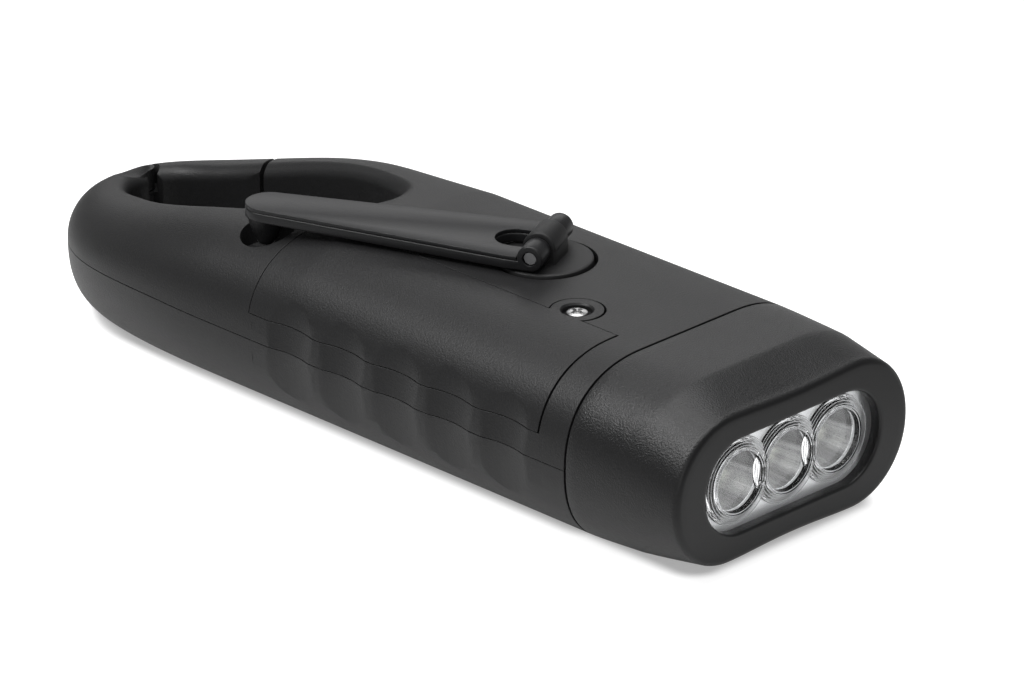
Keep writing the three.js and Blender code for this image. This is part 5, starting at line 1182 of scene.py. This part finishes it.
for obj, node, body, *finish in (
    (upper, "upper_casing", "casing"),
    (lower, "lower_casing", "casing"),
    (cover, "battery_cover", "casing"),
    (bezel, "head_bezel", "casing"),
    (lens, "lens", "casing"),
    (reflector, "reflector", "casing"),
    (gate, "carabiner_gate", "gate"),
    (hub, "crank_hub", "crank", HUB_MAT),
    (arm, "crank_arm", "arm"),
    (plate, "crank_arm_cover", "arm"),
    (knob, "crank_knob", "knob"),
    (screw, "battery_cover_screw", "casing", ZINC),
):
    stand_in(obj, node, body, *finish)


# Floor and light
FLOOR_HALF_SIZE = 6.0  # metres
FLOOR_ROUGHNESS = 0.7
FLOOR_PAINTED_POOL_TONES = (0.66, 0.33)  # a painted pool of light on the floor: its tone near the torch and away from it
PAINTED_POOL_SPAN = (10.0, 60.0)
FLOOR_GLOW_AND_PAINTED_SHADOW = (0.36, 0.9)  # glow that the camera sees on the floor, at the torch's foot and away from it; the lower glow at the foot is a painted shadow, laid over the floor's real shadow
PAINTED_SHADOW_SPAN = (0.2, 3.1)
# the share of that glow in reflections, because dark plastic shows more of it as a grey veil
MIRRORED_GLOW = 0.16
WORLD_LIGHT = 0.19
# rectangles with rounded corners that the torch stands on, which shape the painted shadow and the painted
# pool of light: low corner, high corner, radius
BODY_FOOT = ((6, -16), (132, 16), 16)
HEAD_FOOT = ((60, -15.3), (141.1, 21), 3)
# name, place and target in metres, size in metres, power in watts
LAMPS = (
    ("top", (0.0, 0.05, 0.85), (0, 0, 0), (0.9, 0.7), 6.0),
    ("back", (-0.6, 0.66, 0.4), (0, 0, 0.01), (0.7, 0.34), 0.8),
    ("left", (-0.28, -0.52, 0.8), (0, 0, 0.01), (0.36, 0.36), 5.3),
    ("front", (0.6, -0.7, 0.35), (0.02, 0, 0.01), (0.5, 0.5), 0.8),
)


def away_from(nodes, links, point, low, high, radius):
    """How far a point of the floor is from a rectangle with rounded corners, in metres."""
    centre = [((a + b) / 2 - shift) * MM for a, b, shift in zip(low, high, (LENGTH / 2, 0))]
    half = [((b - a) / 2 - radius) * MM for a, b in zip(low, high)]
    offset = vector_maths(nodes, links, "SUBTRACT", point, (*centre, 0))
    offset = vector_maths(nodes, links, "ABSOLUTE", offset)
    beyond = vector_maths(nodes, links, "SUBTRACT", offset, (*half, 0))
    beyond = vector_maths(nodes, links, "MAXIMUM", beyond, (0, 0, 0))
    return maths(nodes, links, "SUBTRACT", vector_maths(nodes, links, "LENGTH", beyond), radius * MM)


def straight_rays(nodes, links, path):
    """1 for what the camera sees directly or through the clear plastic, otherwise 0."""
    return maths(nodes, links, "MAXIMUM", path.outputs["Is Camera Ray"], path.outputs["Is Transmission Ray"])


def make_floor():
    points = [(x * FLOOR_HALF_SIZE, y * FLOOR_HALF_SIZE, 0) for x, y in ((-1, -1), (1, -1), (1, 1), (-1, 1))]
    mesh = bpy.data.meshes.new("floor")
    mesh.from_pydata(points, [], [(0, 1, 2, 3)])
    floor = bpy.data.objects.new("floor", mesh)
    bpy.context.scene.collection.objects.link(floor)
    mat, nodes, links, shader = node_material("floor")
    shader.inputs["Roughness"].default_value = FLOOR_ROUGHNESS
    shader.inputs["Specular IOR Level"].default_value = 0.0
    point = nodes.new("ShaderNodeTexCoord").outputs["Object"]
    body, head = (away_from(nodes, links, point, *foot) for foot in (BODY_FOOT, HEAD_FOOT))
    nearer = maths(nodes, links, "MINIMUM", body, head)
    # painted shadow: the floor glows less near the torch's foot
    glow_and_painted_shadow = span(nodes, links, nearer, *(d * MM for d in PAINTED_SHADOW_SPAN), *FLOOR_GLOW_AND_PAINTED_SHADOW, True)
    tone = nodes.new("ShaderNodeCombineColor")
    # painted pool of light: the floor is paler near the torch
    painted_pool = span(nodes, links, nearer, *(d * MM for d in PAINTED_POOL_SPAN), *FLOOR_PAINTED_POOL_TONES, True)
    for key in ("Red", "Green", "Blue"):
        links.new(painted_pool, tone.inputs[key])
    links.new(tone.outputs["Color"], shader.inputs["Base Color"])
    path = nodes.new("ShaderNodeLightPath")
    seen = straight_rays(nodes, links, path)
    mirrored = maths(nodes, links, "MULTIPLY", path.outputs["Is Glossy Ray"], MIRRORED_GLOW)
    seen = maths(nodes, links, "MAXIMUM", seen, mirrored)
    glow = nodes.new("ShaderNodeEmission")
    links.new(maths(nodes, links, "MULTIPLY", seen, glow_and_painted_shadow), glow.inputs["Strength"])
    add = nodes.new("ShaderNodeAddShader")
    links.new(shader.outputs[0], add.inputs[0])
    links.new(glow.outputs[0], add.inputs[1])
    links.new(add.outputs[0], nodes["Material Output"].inputs["Surface"])
    mesh.materials.append(mat)


def make_world():
    world = bpy.data.worlds.new("world")
    bpy.context.scene.world = world
    world.use_nodes = True
    nodes, links = world.node_tree.nodes, world.node_tree.links
    background = nodes["Background"]
    seen = straight_rays(nodes, links, nodes.new("ShaderNodeLightPath"))
    links.new(span(nodes, links, seen, 0, 1, WORLD_LIGHT, 1), background.inputs["Strength"])
    background.inputs["Color"].default_value = (1, 1, 1, 1)


def area(name, place, target, size, power):
    data = bpy.data.lights.new(name, "AREA")
    data.shape = "RECTANGLE"
    data.size, data.size_y = size
    data.energy = power
    lamp = bpy.data.objects.new(name, data)
    bpy.context.scene.collection.objects.link(lamp)
    lamp.location = place
    lamp.rotation_euler = (Vector(target) - Vector(place)).to_track_quat("-Z", "Y").to_euler()


make_floor()
make_world()
for lamp in LAMPS:
    area(*lamp)

bpy.context.scene.view_settings.view_transform = "Standard"
